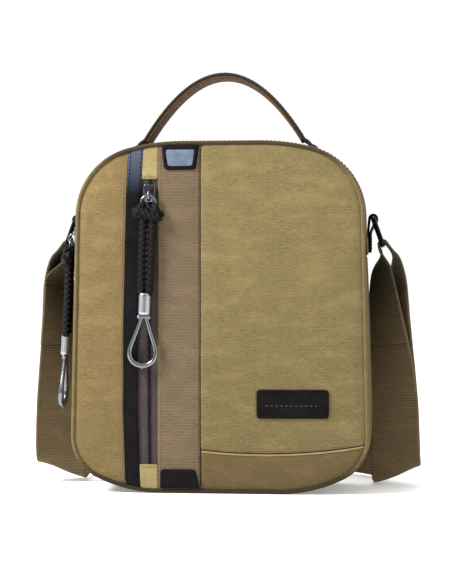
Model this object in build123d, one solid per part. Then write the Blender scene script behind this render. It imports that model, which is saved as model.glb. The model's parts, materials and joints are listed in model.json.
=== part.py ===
"""Upright canvas messenger bag with a front zip pocket, a top zip, a carry handle and a webbing shoulder strap.

Millimetres. +Z is up and the front faces -Y. The origin is on the flat underside, below the middle of the bag.
Every sewn, moulded or metal piece is a node of its own. Fabric is modelled flat, at its sewn size.
"""

import math
import os

from build123d import *

os.makedirs("parts", exist_ok=True)

# ---- driving dimensions ----
HEIGHT = 259.0  # underside to top of the gusset
HALF_LOW = 111.0  # half width at the underside, before the corners are rounded
HALF_HIGH = 105.5  # half width at the top
LOW_CORNER = (110.0, 26.0, 34.0)  # flat arc, degrees it turns through, then the tighter arc
HIGH_CORNER = (160.0, 14.0, 52.0)
HALF_DEPTH = 40.0  # middle of the bag to the face of the front or back panel

CLOTH = 1.6  # canvas with its backing
GAP = 0.15  # between sewn layers, so that no two solids share space
PIPING_R = 1.5
PIPING_IN = 0.4  # the gusset's face stands this far outside the piping
GUSSET_HALF = 36.5  # half width of the side band between the two pipings
FOAM = 1.7
LINING = 0.8
PANEL_INSET = PIPING_IN + 2 * PIPING_R + 0.1  # panels stop where the piping starts

# front pocket zip, and the strips each side of it
STRIP_LEFT = -69.4  # leather strip from here to ZIP_LEFT
ZIP_LEFT = -58.4
ZIP_RIGHT = -45.0
ZIP_X = -51.0  # middle of the coil
BAND_RIGHT = -13.6  # webbing band from ZIP_RIGHT to here
ZIP_LOW = 21.3
ZIP_HIGH = 231.0
SEAM_LEFT, SEAM_MID, SEAM_RIGHT = 32.0, 30.0, 38.0  # height of the lower seam
TAPE = 0.8
COIL_WIDTH = 1.2
COIL_PROUD = 1.0

# top zip, which runs over the top and part of the way down each side
MAIN_ZIP_Y = -22.0
MAIN_WINDOW = 13.0
MAIN_ZIP_END = 176.0

# zip sliders and cord pulls
SLIDER_WIDTH, SLIDER_LENGTH, SLIDER_THICK = 9.0, 13.0, 2.4
SLIDER_RISE = 1.9  # middle of the slider's plate above its bail
BAIL_R, BAIL_WIRE = 3.2, 0.8
BAIL_OUT = 2.6  # bail's hole in front of the plate
RING_R, RING_WIRE = 5.5, 0.8
KNOT = (23.0, 9.0, 13.0)
CORD_R = 3.1
CORD_SPREAD = 3.2  # half the distance between the two strands
CORD_LONG = 53.0  # knot to ferrule
FERRULE_R, FERRULE_LONG = 4.6, 15.5
LOOP_WIRE, LOOP_R, LOOP_LONG = 1.5, 10.3, 42.0
FRONT_BAIL_Z = 218.5
MAIN_BAIL_Z = 188.0
FRONT_PULL_LEAN = (0.0, 2.2)  # degrees the pull leans out from the bag, and sideways
MAIN_PULL_LEAN = (3.0, 0.0)

# carry handle
HANDLE_Y = 12.0
HANDLE_WIDTH = 25.0
HANDLE_HALF_SPAN = 65.0
HANDLE_CREASE_Z = 257.2
HANDLE_TOP_Z = 314.0
HANDLE_RISE = 56.0
HANDLE_LAYERS = (2.0, 1.4)  # outer webbing, inner lining
HANDLE_FOOT = (68.0, 80.0)  # x from and to

# strap rings and their tabs
STRAP_Y = 13.5
RING_PIVOT_X, RING_PIVOT_Z = 112.5, 203.0
RING_BAR_R = 1.8
RING_DROP = 20.6  # top bar to bottom bar
RING_LEAN = 20.0
RING_GAP = 39.0  # between the side links
TAB_WIDTH = 35.0
TAB_LOW = 177.5
TAB_FACE = 107.6
TAB_THICK = 3.2

# shoulder strap
STRAP_WIDTH = 38.0
STRAP_THICK = 2.0
LOOP_ANGLES = (36.0, 195.4)  # degrees round the ring's bar where the strap leaves it, outside and inside
LOOP_LEGS = (7.0, 5.5)
STRAP_LAYER = 2.4  # from one strap layer's middle to the next one's
ADJUSTER_X = 12.0
BACK_RUN_Y = 108.0
BACK_RUN_Z = 22.2
BACK_RUN_END = 58.0

SIDE_SLOPE = math.atan((HALF_LOW - HALF_HIGH) / HEIGHT)


def save(node, shape):
    """Writes one node as parts/NODE.step."""
    solids = shape.solids()
    out = solids[0] if len(solids) == 1 else Compound(children=list(solids))
    out.label = node
    export_step(out, f"parts/{node}.step")


# ---- outlines and sheets ----
def half_width(z, inset=0.0):
    """Half the bag's width at height z, on its straight sides."""
    return HALF_LOW - z * math.tan(SIDE_SLOPE) - inset / math.cos(SIDE_SLOPE)


def arc_points(x, z, radius, start, end):
    """Start, middle and end of an arc about (x, z)."""
    angles = (start, (start + end) / 2, end)
    return [(x + radius * math.cos(a), z + radius * math.sin(a)) for a in angles]


def outline(inset):
    """The bag's front outline in X and Z, moved inwards by inset. Each corner is two arcs."""
    arcs = []
    for (flat_r, turn, tight_r), up in ((LOW_CORNER, -1), (HIGH_CORNER, 1)):
        turn = math.radians(turn)
        flat_z = HEIGHT - flat_r if up > 0 else flat_r
        tight_z = flat_z + up * (flat_r - tight_r) * math.cos(turn)
        tight_x = half_width(tight_z, tight_r)
        flat_x = tight_x - (flat_r - tight_r) * math.sin(turn)
        start, end = up * math.pi / 2, SIDE_SLOPE
        knee = start - up * turn
        flat = arc_points(flat_x, flat_z, flat_r - inset, start, knee)
        tight = arc_points(tight_x, tight_z, tight_r - inset, knee, end)
        arcs.append((flat, tight))
    (low_flat, low_tight), (high_flat, high_tight) = arcs
    right = [ThreePointArc(*arc) for arc in (low_flat, low_tight, high_tight, high_flat)]
    right.append(Line(low_tight[2], high_tight[2]))
    left = [mirror(edge, Plane.YZ) for edge in right]
    flats = [Line((-arc[0][0], arc[0][1]), arc[0]) for arc in (low_flat, high_flat)]
    return make_face(Curve() + right + left + flats)


def rect(x_low, x_high, z_low, z_high):
    middle = Pos((x_low + x_high) / 2, (z_low + z_high) / 2)
    return middle * Rectangle(x_high - x_low, z_high - z_low)


def slab(sketch, y_low, y_high):
    """A sketch drawn in X and Z, filled from y_low to y_high."""
    return extrude(Plane.XZ.offset(-y_high) * sketch, amount=y_high - y_low)


def band(inset, thick, y_low, y_high):
    """A strip that follows the outline, of that thickness inwards from inset."""
    return slab(outline(inset) - outline(inset + thick), y_low, y_high)


def block(x_low, x_high, y_low, y_high, z_low, z_high):
    middle = Pos((x_low + x_high) / 2, (y_low + y_high) / 2, (z_low + z_high) / 2)
    return middle * Box(x_high - x_low, y_high - y_low, z_high - z_low)


def above(z):
    return block(-200, 200, -200, 200, z, 400)


def piping(y):
    """Round piping sewn into the seam all the way round a panel."""
    path = Plane.XZ.offset(-y) * outline(PIPING_IN + PIPING_R).wire()
    start = path @ 0
    section = Plane(origin=start, z_dir=path % 0) * Circle(PIPING_R)
    return sweep(section, path)


# ---- front panel ----
def front_face(sketch, thick=CLOTH, lift=0.0):
    """A piece of the front panel, clipped to the panel's outline."""
    face = -HALF_DEPTH - lift
    return slab(outline(PANEL_INSET) & sketch, face, face + thick)


def lower_seam(z_shift, far_z):
    """The panel right of the webbing band, between the curved seam and far_z."""
    left, right = BAND_RIGHT + GAP, HALF_LOW + 5
    seam = ThreePointArc(
        (left, SEAM_LEFT + z_shift),
        ((left + right) / 2, SEAM_MID + z_shift),
        (right, SEAM_RIGHT + z_shift),
    )
    rest = Polyline((right, SEAM_RIGHT + z_shift), (right, far_z), (left, far_z), (left, SEAM_LEFT + z_shift))
    return make_face(seam + rest)


def front_panel():
    tall = (-5.0, HEIGHT + 5.0)
    save("front_canvas_left", front_face(rect(-HALF_LOW - 5, STRIP_LEFT - GAP, *tall)))
    save("front_leather_strip", front_face(rect(STRIP_LEFT, ZIP_LEFT - GAP, *tall)))
    save("front_zip_top_tab", front_face(rect(ZIP_LEFT, ZIP_RIGHT - GAP, ZIP_HIGH, HEIGHT)))
    save("front_zip_bottom_tab", front_face(rect(ZIP_LEFT, ZIP_RIGHT - GAP, 0, ZIP_LOW)))
    save("front_webbing_band", front_face(rect(ZIP_RIGHT, BAND_RIGHT, *tall)))
    save("front_canvas_right", front_face(lower_seam(GAP, HEIGHT + 5)))
    save("front_canvas_lower", front_face(lower_seam(0, -5)))

    back_of_tape = -HALF_DEPTH + CLOTH - 0.1
    low, high = ZIP_LOW + GAP, ZIP_HIGH - GAP
    coil = COIL_WIDTH / 2
    left = rect(ZIP_LEFT + 0.05, ZIP_X - coil - 0.1, low, high)
    right = rect(ZIP_X + coil + 0.1, ZIP_RIGHT - 0.1, low, high)
    save("front_zip_tapes", slab(left + right, back_of_tape - TAPE, back_of_tape))
    teeth = rect(ZIP_X - coil, ZIP_X + coil, low, high)
    save("front_zip_coil", slab(teeth, back_of_tape - TAPE - COIL_PROUD, back_of_tape))


def front_trim():
    """Leather patches over the webbing band's two ends, and the blank leather label."""
    thick, lift = 1.8, 1.8 + GAP
    top = Polygon((-42.4, 256.5), (-14.4, 256.5), (-16.4, 237.5), (-39.9, 237.5), align=None)
    save("front_patch_top", front_face(fillet(top.vertices().group_by(Axis.Y)[0], 3), thick, lift))
    low = Polygon((-43.4, 2), (-13.4, 2), (-16.9, 18), (-42.9, 18), align=None)
    save("front_patch_bottom", front_face(fillet(low.vertices().group_by(Axis.Y)[-1], 3), thick, lift))
    label = Pos(54.3, 66.2) * RectangleRounded(52.8, 21, 2.5)
    save("front_label", front_face(label, thick, lift))


def front_inside():
    """What lies behind the front panel: foam, the pocket's pouch and the lining."""
    y = -HALF_DEPTH + CLOTH + GAP
    channel = rect(ZIP_LEFT, ZIP_RIGHT, ZIP_LOW, ZIP_HIGH)
    save("front_padding", slab(outline(PANEL_INSET + 0.2) - channel, y, y + FOAM))
    y += FOAM + GAP
    pouch = rect(-64, 92, 14, 226)
    cavity = rect(-60, 90, 16, 224)
    sheets = slab(pouch, y, y + 3.0) - slab(cavity, y + LINING, y + 3.0 - LINING)
    mouth = slab(rect(ZIP_LEFT + 2, ZIP_RIGHT - 2, ZIP_LOW + 2, ZIP_HIGH - 8), y - 1, y + LINING)
    save("front_pocket_pouch", sheets - mouth)
    y += 3.0 + GAP
    save("front_lining", slab(outline(2 * CLOTH + 0.6), y, y + LINING))


# ---- back panel ----
def back_panel():
    y = HALF_DEPTH - CLOTH
    save("back_canvas", slab(outline(PANEL_INSET), y, HALF_DEPTH))
    save("back_padding", slab(outline(PANEL_INSET + 0.2), y - GAP - FOAM, y - GAP))
    y -= 2 * GAP + FOAM
    save("back_lining", slab(outline(2 * CLOTH + 0.6), y - LINING, y))
    pocket = outline(PANEL_INSET + 0.5) & rect(-HALF_LOW, HALF_LOW, -5, 172)
    outer = HALF_DEPTH + GAP
    save("back_slip_pocket", slab(pocket, outer, outer + CLOTH))
    binding = outline(PANEL_INSET + 0.5) & rect(-HALF_LOW, HALF_LOW, 172 + GAP, 184)
    save("back_pocket_binding", slab(binding, outer, outer + CLOTH + 0.6))


# ---- gusset, top zip and inside ----
def gusset():
    whole = band(0, CLOTH, -GUSSET_HALF, GUSSET_HALF)
    save("gusset_lower", whole - above(MAIN_ZIP_END))
    top = whole & above(MAIN_ZIP_END + GAP)
    front_edge, back_edge = MAIN_ZIP_Y - MAIN_WINDOW / 2, MAIN_ZIP_Y + MAIN_WINDOW / 2
    save("gusset_top_front", top & block(-200, 200, -100, front_edge, 0, 400))
    save("gusset_top_back", top & block(-200, 200, back_edge, 100, 0, 400))

    zipped = above(MAIN_ZIP_END + 12)
    coil = COIL_WIDTH / 2
    front_tape = band(0.5, TAPE, front_edge + 0.1, MAIN_ZIP_Y - coil - 0.1)
    back_tape = band(0.5, TAPE, MAIN_ZIP_Y + coil + 0.1, back_edge - 0.1)
    save("main_zip_tapes", (front_tape + back_tape) & zipped)
    teeth = band(-0.5, TAPE + 1.0, MAIN_ZIP_Y - coil, MAIN_ZIP_Y + coil)
    save("main_zip_coil", teeth & zipped)
    covers = band(0, CLOTH, front_edge + 0.1, back_edge - 0.1)
    ends = block(-200, 200, -100, 100, MAIN_ZIP_END + GAP, MAIN_ZIP_END + 12 - GAP)
    save("main_zip_end_covers", covers & ends)


def inside():
    save("gusset_lining", band(CLOTH + GAP, LINING, -33.2, 35.4))
    board = block(-56, 56, -32.4, 32.4, 3.6, 5.6)
    save("base_board", fillet(board.edges().filter_by(Axis.Z), 8))
    y = 35.0
    pocket = rect(-70, 70, 60, 190)
    save("inner_slip_pocket", slab(pocket, y - 1.0, y - 0.2))


def piping_pair():
    y = GUSSET_HALF + GAP + PIPING_R
    save("front_piping", piping(-y))
    save("back_piping", piping(y))


# ---- carry handle ----
def handle_line(depth):
    """The handle's arch in X and Z, depth below its outer face: points from left to right."""
    steps = 12
    points = []
    for i in range(steps + 1):
        x = HANDLE_HALF_SPAN * (2 * i / steps - 1)
        slope = -2 * HANDLE_RISE * x / HANDLE_HALF_SPAN**2
        tilt = math.atan(slope)
        z = HANDLE_TOP_Z - HANDLE_RISE * (x / HANDLE_HALF_SPAN) ** 2
        points.append((x + depth * math.sin(tilt), z - depth * math.cos(tilt)))
    return points


def handle_layer(near, far):
    outer, inner = handle_line(near), handle_line(far)
    edges = Spline(*outer) + Line(outer[-1], inner[-1]) + Spline(*inner) + Line(inner[0], outer[0])
    half = HANDLE_WIDTH / 2
    return slab(make_face(edges), HANDLE_Y - half, HANDLE_Y + half)


def handle_clearance():
    """What is cut from the arch above its two creases, so that it can fold 45 degrees each way."""
    reach = 60.0
    side = Polygon((0, 0), (reach, reach), (reach, -reach), (-reach, -reach), (-reach, reach), align=None)
    wedge = extrude(Plane.YZ * side, amount=150, both=True)
    return Pos(0, HANDLE_Y, HANDLE_CREASE_Z) * wedge


def handle():
    cut = handle_clearance()
    first, second = HANDLE_LAYERS
    save("handle_webbing", handle_layer(0, first) - cut)
    save("handle_lining", handle_layer(first + 0.1, first + second) - cut)
    half = HANDLE_WIDTH / 2
    over = band(-sum(HANDLE_LAYERS) + 0.2, sum(HANDLE_LAYERS) - 0.4, HANDLE_Y - half, HANDLE_Y + half)
    near, far = HANDLE_FOOT
    feet = [over & block(*sorted((s * near, s * far)), -100, 100, 200, 400) for s in (-1, 1)]
    save("handle_feet", feet[0] + feet[1])


# ---- sliders and pulls, drawn with the bail's hole at the origin and the zip's face towards +Y ----
def slider():
    half_wide, half_long = SLIDER_WIDTH / 2, SLIDER_LENGTH / 2
    plate = block(-half_wide, half_wide, BAIL_OUT, BAIL_OUT + SLIDER_THICK, -half_long, half_long)
    plate = fillet(plate.edges().filter_by(Axis.Y), 3.0)
    plate = fillet(plate.faces().sort_by(Axis.Y)[0].edges(), 0.7)
    loop = Pos(0, BAIL_OUT - 1.4, 0) * Rot(0, 90, 0) * Torus(BAIL_R, BAIL_WIRE)
    proud = block(-5, 5, -10, BAIL_OUT + 0.3, -10, 10)
    return Pos(0, 0, SLIDER_RISE) * plate + (loop & proud)


RING_TOP = 0.3  # the ring's wire above the middle of the bail's hole
RING_MIDDLE = RING_TOP - RING_R
KNOT_Z = RING_MIDDLE - RING_R - 1.5
FERRULE_TOP = KNOT_Z - KNOT[2] / 2 - CORD_LONG - GAP
LOOP_TOP = FERRULE_TOP - FERRULE_LONG - GAP


def ring_torus(wire):
    return Pos(0, 0, RING_MIDDLE) * Rot(90, 0, 0) * Torus(RING_R, wire)


def pull_cord():
    """The cord's knot round the ring, and its two strands down to the ferrule."""
    width, depth, tall = KNOT
    knot = Pos(0, 0, KNOT_Z) * Box(width, depth, tall)
    knot = fillet(knot.edges(), 4.0)
    length = CORD_LONG + 1
    middle = KNOT_Z - tall / 2 + 1 - length / 2
    for side in (-1, 1):
        knot += Pos(side * CORD_SPREAD, 0, middle) * Cylinder(CORD_R, length)
    return knot - ring_torus(RING_WIRE + 0.1)


def pull_ferrule():
    shape = Pos(0, 0, FERRULE_TOP - FERRULE_LONG / 2) * Cylinder(FERRULE_R, FERRULE_LONG)
    return chamfer(shape.edges(), 0.5)


def pull_loop():
    """Teardrop of bent wire below the ferrule, in a small collar."""
    start_x, start_z = LOOP_WIRE + 0.4, -LOOP_WIRE
    drop = LOOP_LONG - LOOP_WIRE - LOOP_R
    turn = math.acos(LOOP_R / math.hypot(start_x, drop + start_z))
    angle = math.atan2(drop + start_z, start_x) - turn
    x, z = LOOP_R * math.cos(angle), -drop + LOOP_R * math.sin(angle)
    bend = ThreePointArc((x, z), (0, -drop - LOOP_R), (-x, z))
    path = Wire([Line((start_x, start_z), (x, z)), bend, Line((-x, z), (-start_x, start_z))])
    path = Plane.XZ * path
    loop = sweep(Plane(origin=path @ 0, z_dir=path % 0) * Circle(LOOP_WIRE), path)
    collar = Pos(0, 0, -1.3) * Box(10.5, 3.4, 2.6)
    return Pos(0, 0, LOOP_TOP) * (loop + fillet(collar.edges().filter_by(Axis.Y), 1.0))


def zip_hardware(name, place, lean):
    out, sideways = lean
    tilted = place * Rot(-out, sideways, 0)
    save(f"{name}_slider", place * slider())
    save(f"{name}_pull_ring", tilted * ring_torus(RING_WIRE))
    save(f"{name}_pull_cord", tilted * pull_cord())
    save(f"{name}_pull_ferrule", tilted * pull_ferrule())
    save(f"{name}_pull_loop", tilted * pull_loop())


def sliders():
    depth = BAIL_OUT + SLIDER_THICK + 0.2
    front_y = -HALF_DEPTH + CLOTH - 0.1 - TAPE - COIL_PROUD - depth
    zip_hardware("front", Pos(ZIP_X, front_y, FRONT_BAIL_Z), FRONT_PULL_LEAN)
    side_x = -half_width(MAIN_BAIL_Z) - 0.5 - depth
    side = Pos(side_x, MAIN_ZIP_Y, MAIN_BAIL_Z) * Rot(0, 0, -90)
    zip_hardware("main", side, MAIN_PULL_LEAN)


# ---- strap rings and tabs, drawn on the right and mirrored ----
def ring_tab():
    """Leather folded over the ring's top bar and sewn to the gusset."""
    half = TAB_WIDTH / 2
    slab_part = block(TAB_FACE, TAB_FACE + TAB_THICK, STRAP_Y - half, STRAP_Y + half, TAB_LOW, RING_PIVOT_Z)
    fold = Pos(RING_PIVOT_X, STRAP_Y, RING_PIVOT_Z) * Rot(90, 0, 0) * Cylinder(RING_BAR_R + 2.1, TAB_WIDTH)
    neck = block(TAB_FACE, RING_PIVOT_X, STRAP_Y - half, STRAP_Y + half, RING_PIVOT_Z - 3.2, RING_PIVOT_Z)
    hole = Pos(RING_PIVOT_X, STRAP_Y, RING_PIVOT_Z) * Rot(90, 0, 0) * Cylinder(RING_BAR_R + 0.1, 100)
    return slab_part + fold + neck - hole


def strap_ring():
    """Rectangular wire ring, leaning out from the tab."""
    frame = RectangleRounded(RING_GAP + 2 * RING_BAR_R, RING_DROP, 3.0).wire()
    path = Pos(0, 0, -RING_DROP / 2) * (Plane.YZ * frame)
    ring = sweep(Plane(origin=path @ 0, z_dir=path % 0) * Circle(RING_BAR_R), path)
    return Pos(RING_PIVOT_X, STRAP_Y, RING_PIVOT_Z) * Rot(0, -RING_LEAN, 0) * ring


def bottom_bar():
    """X and Z of the ring's bottom bar."""
    lean = math.radians(RING_LEAN)
    return RING_PIVOT_X + RING_DROP * math.sin(lean), RING_PIVOT_Z - RING_DROP * math.cos(lean)


def polar(radius, degrees):
    angle = math.radians(degrees)
    return radius * math.cos(angle), radius * math.sin(angle)


def strap_loop():
    """The strap where it passes over the ring's bottom bar, with both its legs cut short below it."""
    near, far = RING_BAR_R + 0.2, RING_BAR_R + 0.2 + STRAP_THICK
    ring = Circle(far) - Circle(near)
    outer, inner = LOOP_ANGLES
    wedge = Polygon((0, 0), *[polar(30, a) for a in (inner, (inner + outer + 360) / 2, outer + 360)], align=None)
    legs = Pos(*polar((near + far) / 2, outer)) * Rot(0, 0, outer) * Pos(0, -LOOP_LEGS[0] / 2)
    shape = (ring - wedge) + legs * Rectangle(STRAP_THICK, LOOP_LEGS[0])
    legs = Pos(*polar((near + far) / 2, inner)) * Rot(0, 0, inner) * Pos(0, LOOP_LEGS[1] / 2)
    shape += legs * Rectangle(STRAP_THICK, LOOP_LEGS[1])
    x, z = bottom_bar()
    return Pos(x, 0, z) * slab(shape, STRAP_Y - STRAP_WIDTH / 2, STRAP_Y + STRAP_WIDTH / 2)


def both_sides(name, shape):
    save(f"{name}_right", shape)
    save(f"{name}_left", mirror(shape, Plane.YZ))


def rings():
    both_sides("ring_tab", ring_tab())
    both_sides("strap_ring", strap_ring())
    both_sides("strap_loop", strap_loop())


# ---- shoulder strap ----
SPLINE_STEPS = 3

# Each station is a point on the strap's middle line and the direction of its outer edge, for the right side.
LEG = [
    ((126.4, 13.5, 179.3), (0.0, -1.0, 0.0)),
    ((129.6, 13.5, 173.8), (0.03, -1.0, 0.0)),
    ((130.9, 13.6, 165.0), (0.14, -0.99, 0.0)),
    ((130.6, 13.9, 155.0), (0.32, -0.95, 0.0)),
    ((128.8, 14.6, 142.0), (0.52, -0.85, 0.0)),
    ((126.8, 15.4, 127.0), (0.70, -0.71, 0.0)),
    ((126.2, 16.2, 108.0), (0.83, -0.56, 0.0)),
    ((127.2, 17.2, 86.0), (0.90, -0.44, 0.0)),
    ((128.8, 18.0, 60.0), (0.93, -0.36, 0.0)),
]
CURL = [
    ((129.6, 19.0, 36.0), (0.94, -0.34, 0.06)),
    ((129.3, 21.8, 23.0), (0.94, -0.28, 0.20)),
    ((128.7, 27.4, 15.2), (0.91, -0.18, 0.36)),
    ((127.6, 35.5, 13.2), (0.87, -0.05, 0.48)),
    ((125.6, 46.0, 17.0), (0.68, 0.0, 0.73)),
    ((122.2, 57.0, 20.4), (0.36, 0.0, 0.93)),
    ((116.6, 70.0, 20.8), (0.10, 0.0, 0.99)),
    ((106.0, 87.0, 21.0), (0.0, 0.0, 1.0)),
    ((90.0, 100.0, 21.6), (0.0, 0.0, 1.0)),
    ((73.0, 106.6, 22.0), (0.0, 0.0, 1.0)),
    ((BACK_RUN_END, BACK_RUN_Y, BACK_RUN_Z), (0.0, 0.0, 1.0)),
]
RETURN = [
    ((118.5, 13.5, 176.3), (0.0, -1.0, 0.0)),
    ((118.9, 13.2, 168.0), (0.18, -0.98, 0.0)),
    ((118.6, 12.8, 160.0), (0.30, -0.95, 0.0)),
    ((119.3, 12.2, 147.0), (0.45, -0.89, 0.0)),
    ((121.8, 11.6, 129.0), (0.62, -0.78, 0.0)),
    ((124.0, 11.4, 112.0), (0.74, -0.67, 0.0)),
    ((126.4, 11.8, 90.0), (0.85, -0.53, 0.0)),
    ((128.4, 13.2, 68.0), (0.92, -0.39, 0.0)),
    ((128.7, 15.6, 50.0), (0.94, -0.34, 0.02)),
    ((128.7, 16.6, 36.4), (0.94, -0.34, 0.04)),
]


def between(a, b, c, d, t):
    """Catmull-Rom spline between b and c."""
    return (b * 2 + (c - a) * t + (a * 2 - b * 5 + c * 4 - d) * t**2 + (b * 3 - a - c * 3 + d) * t**3) * 0.5


def smooth(stations):
    """Stations filled in along a spline, as (point, direction of the outer edge)."""
    rows = [(Vector(*p), Vector(*w)) for p, w in stations]
    rows = [(rows[0][0] * 2 - rows[1][0], rows[0][1]), *rows, (rows[-1][0] * 2 - rows[-2][0], rows[-1][1])]
    out = []
    for i in range(1, len(rows) - 2):
        quad = rows[i - 1 : i + 3]
        for k in range(SPLINE_STEPS):
            out.append(tuple(between(*(row[j] for row in quad), k / SPLINE_STEPS) for j in (0, 1)))
    out.append(rows[-2])
    return [(p, w.normalized()) for p, w in out]


def sections(stations, lift=0.0):
    """The strap's four corners at each station, moved by lift towards its front face."""
    rows = []
    for i, (point, edge) in enumerate(stations):
        before = stations[max(i - 1, 0)][0]
        after = stations[min(i + 1, len(stations) - 1)][0]
        along = (after - before).normalized()
        edge = (edge - along * edge.dot(along)).normalized()
        face = along.cross(edge).normalized()
        side = edge * (STRAP_WIDTH / 2)
        front, back = face * (lift + STRAP_THICK / 2), face * (lift - STRAP_THICK / 2)
        rows.append([point + side + front, point + side + back, point - side + back, point - side + front])
    return rows


def triangle(a, b, c):
    return Face(Wire.make_polygon([a, b, c], close=True))


def ribbon(rows):
    """A flat strap through rows of four corners. Its faces are flat triangles."""
    faces = []
    for here, there in zip(rows, rows[1:]):
        for k in range(4):
            after = (k + 1) % 4
            faces.append(triangle(here[k], here[after], there[after]))
            faces.append(triangle(here[k], there[after], there[k]))
    for end in (rows[0], rows[-1]):
        faces.append(triangle(end[0], end[1], end[2]))
        faces.append(triangle(end[0], end[2], end[3]))
    return Solid(Shell(faces))


def back_run(x_low, x_high, layer):
    """A straight length of strap on edge behind the bag."""
    y, half = BACK_RUN_Y + layer * STRAP_LAYER, STRAP_THICK / 2
    low, high = BACK_RUN_Z - STRAP_WIDTH / 2, BACK_RUN_Z + STRAP_WIDTH / 2
    return block(x_low, x_high, y - half, y + half, low, high)


def strap():
    rows = sections(smooth(LEG + CURL))
    split = len(LEG) * SPLINE_STEPS
    leg, curl = ribbon(rows[: split + 1]), ribbon(rows[split:])
    save("strap_right_leg", leg)
    save("strap_left_leg", mirror(leg, Plane.YZ))
    save("strap_right_curl", curl)
    save("strap_left_curl", mirror(curl, Plane.YZ))
    end = BACK_RUN_END - 0.3
    save("strap_back_run", back_run(-end, end, 0))
    save("strap_return_leg", ribbon(sections(smooth(RETURN))))
    save("strap_return_curl", ribbon(sections(smooth(LEG + CURL), STRAP_LAYER)[split:]))
    save("strap_sewn_end", back_run(ADJUSTER_X + 4, end, 1))


def adjuster():
    """Three-bar slide. The strap runs between its bars, and the strap's end is sewn round the middle one."""
    half_long, link, bar, clear = 14.0, 2.2, 3.4, 0.4
    inner = STRAP_WIDTH / 2 + clear
    front = BACK_RUN_Y - STRAP_THICK / 2 - clear - bar
    back = BACK_RUN_Y + STRAP_LAYER + STRAP_THICK / 2 + clear + bar
    x_low, x_high = ADJUSTER_X - half_long, ADJUSTER_X + half_long
    z_low, z_high = BACK_RUN_Z - inner - link, BACK_RUN_Z + inner + link
    frame = block(x_low, x_high, front, back, z_low, z_low + link)
    frame += block(x_low, x_high, front, back, z_high - link, z_high)
    for x in (x_low, x_high - bar):
        frame += block(x, x + bar, front, front + bar, z_low, z_high)
    middle = ADJUSTER_X - bar / 2
    frame += block(middle, middle + bar, BACK_RUN_Y + STRAP_THICK / 2 + clear, back - 2, z_low, z_high)
    save("strap_adjuster", frame)


def main():
    front_panel()
    front_trim()
    front_inside()
    back_panel()
    gusset()
    inside()
    piping_pair()
    handle()
    sliders()
    rings()
    strap()
    adjuster()


main()
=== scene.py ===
"""Looks of the canvas messenger bag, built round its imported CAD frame.

Lengths are millimetres in the row frame until mesh() turns them into metres. X is right, Z up, front faces -Y.
"""

import json
import math

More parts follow.
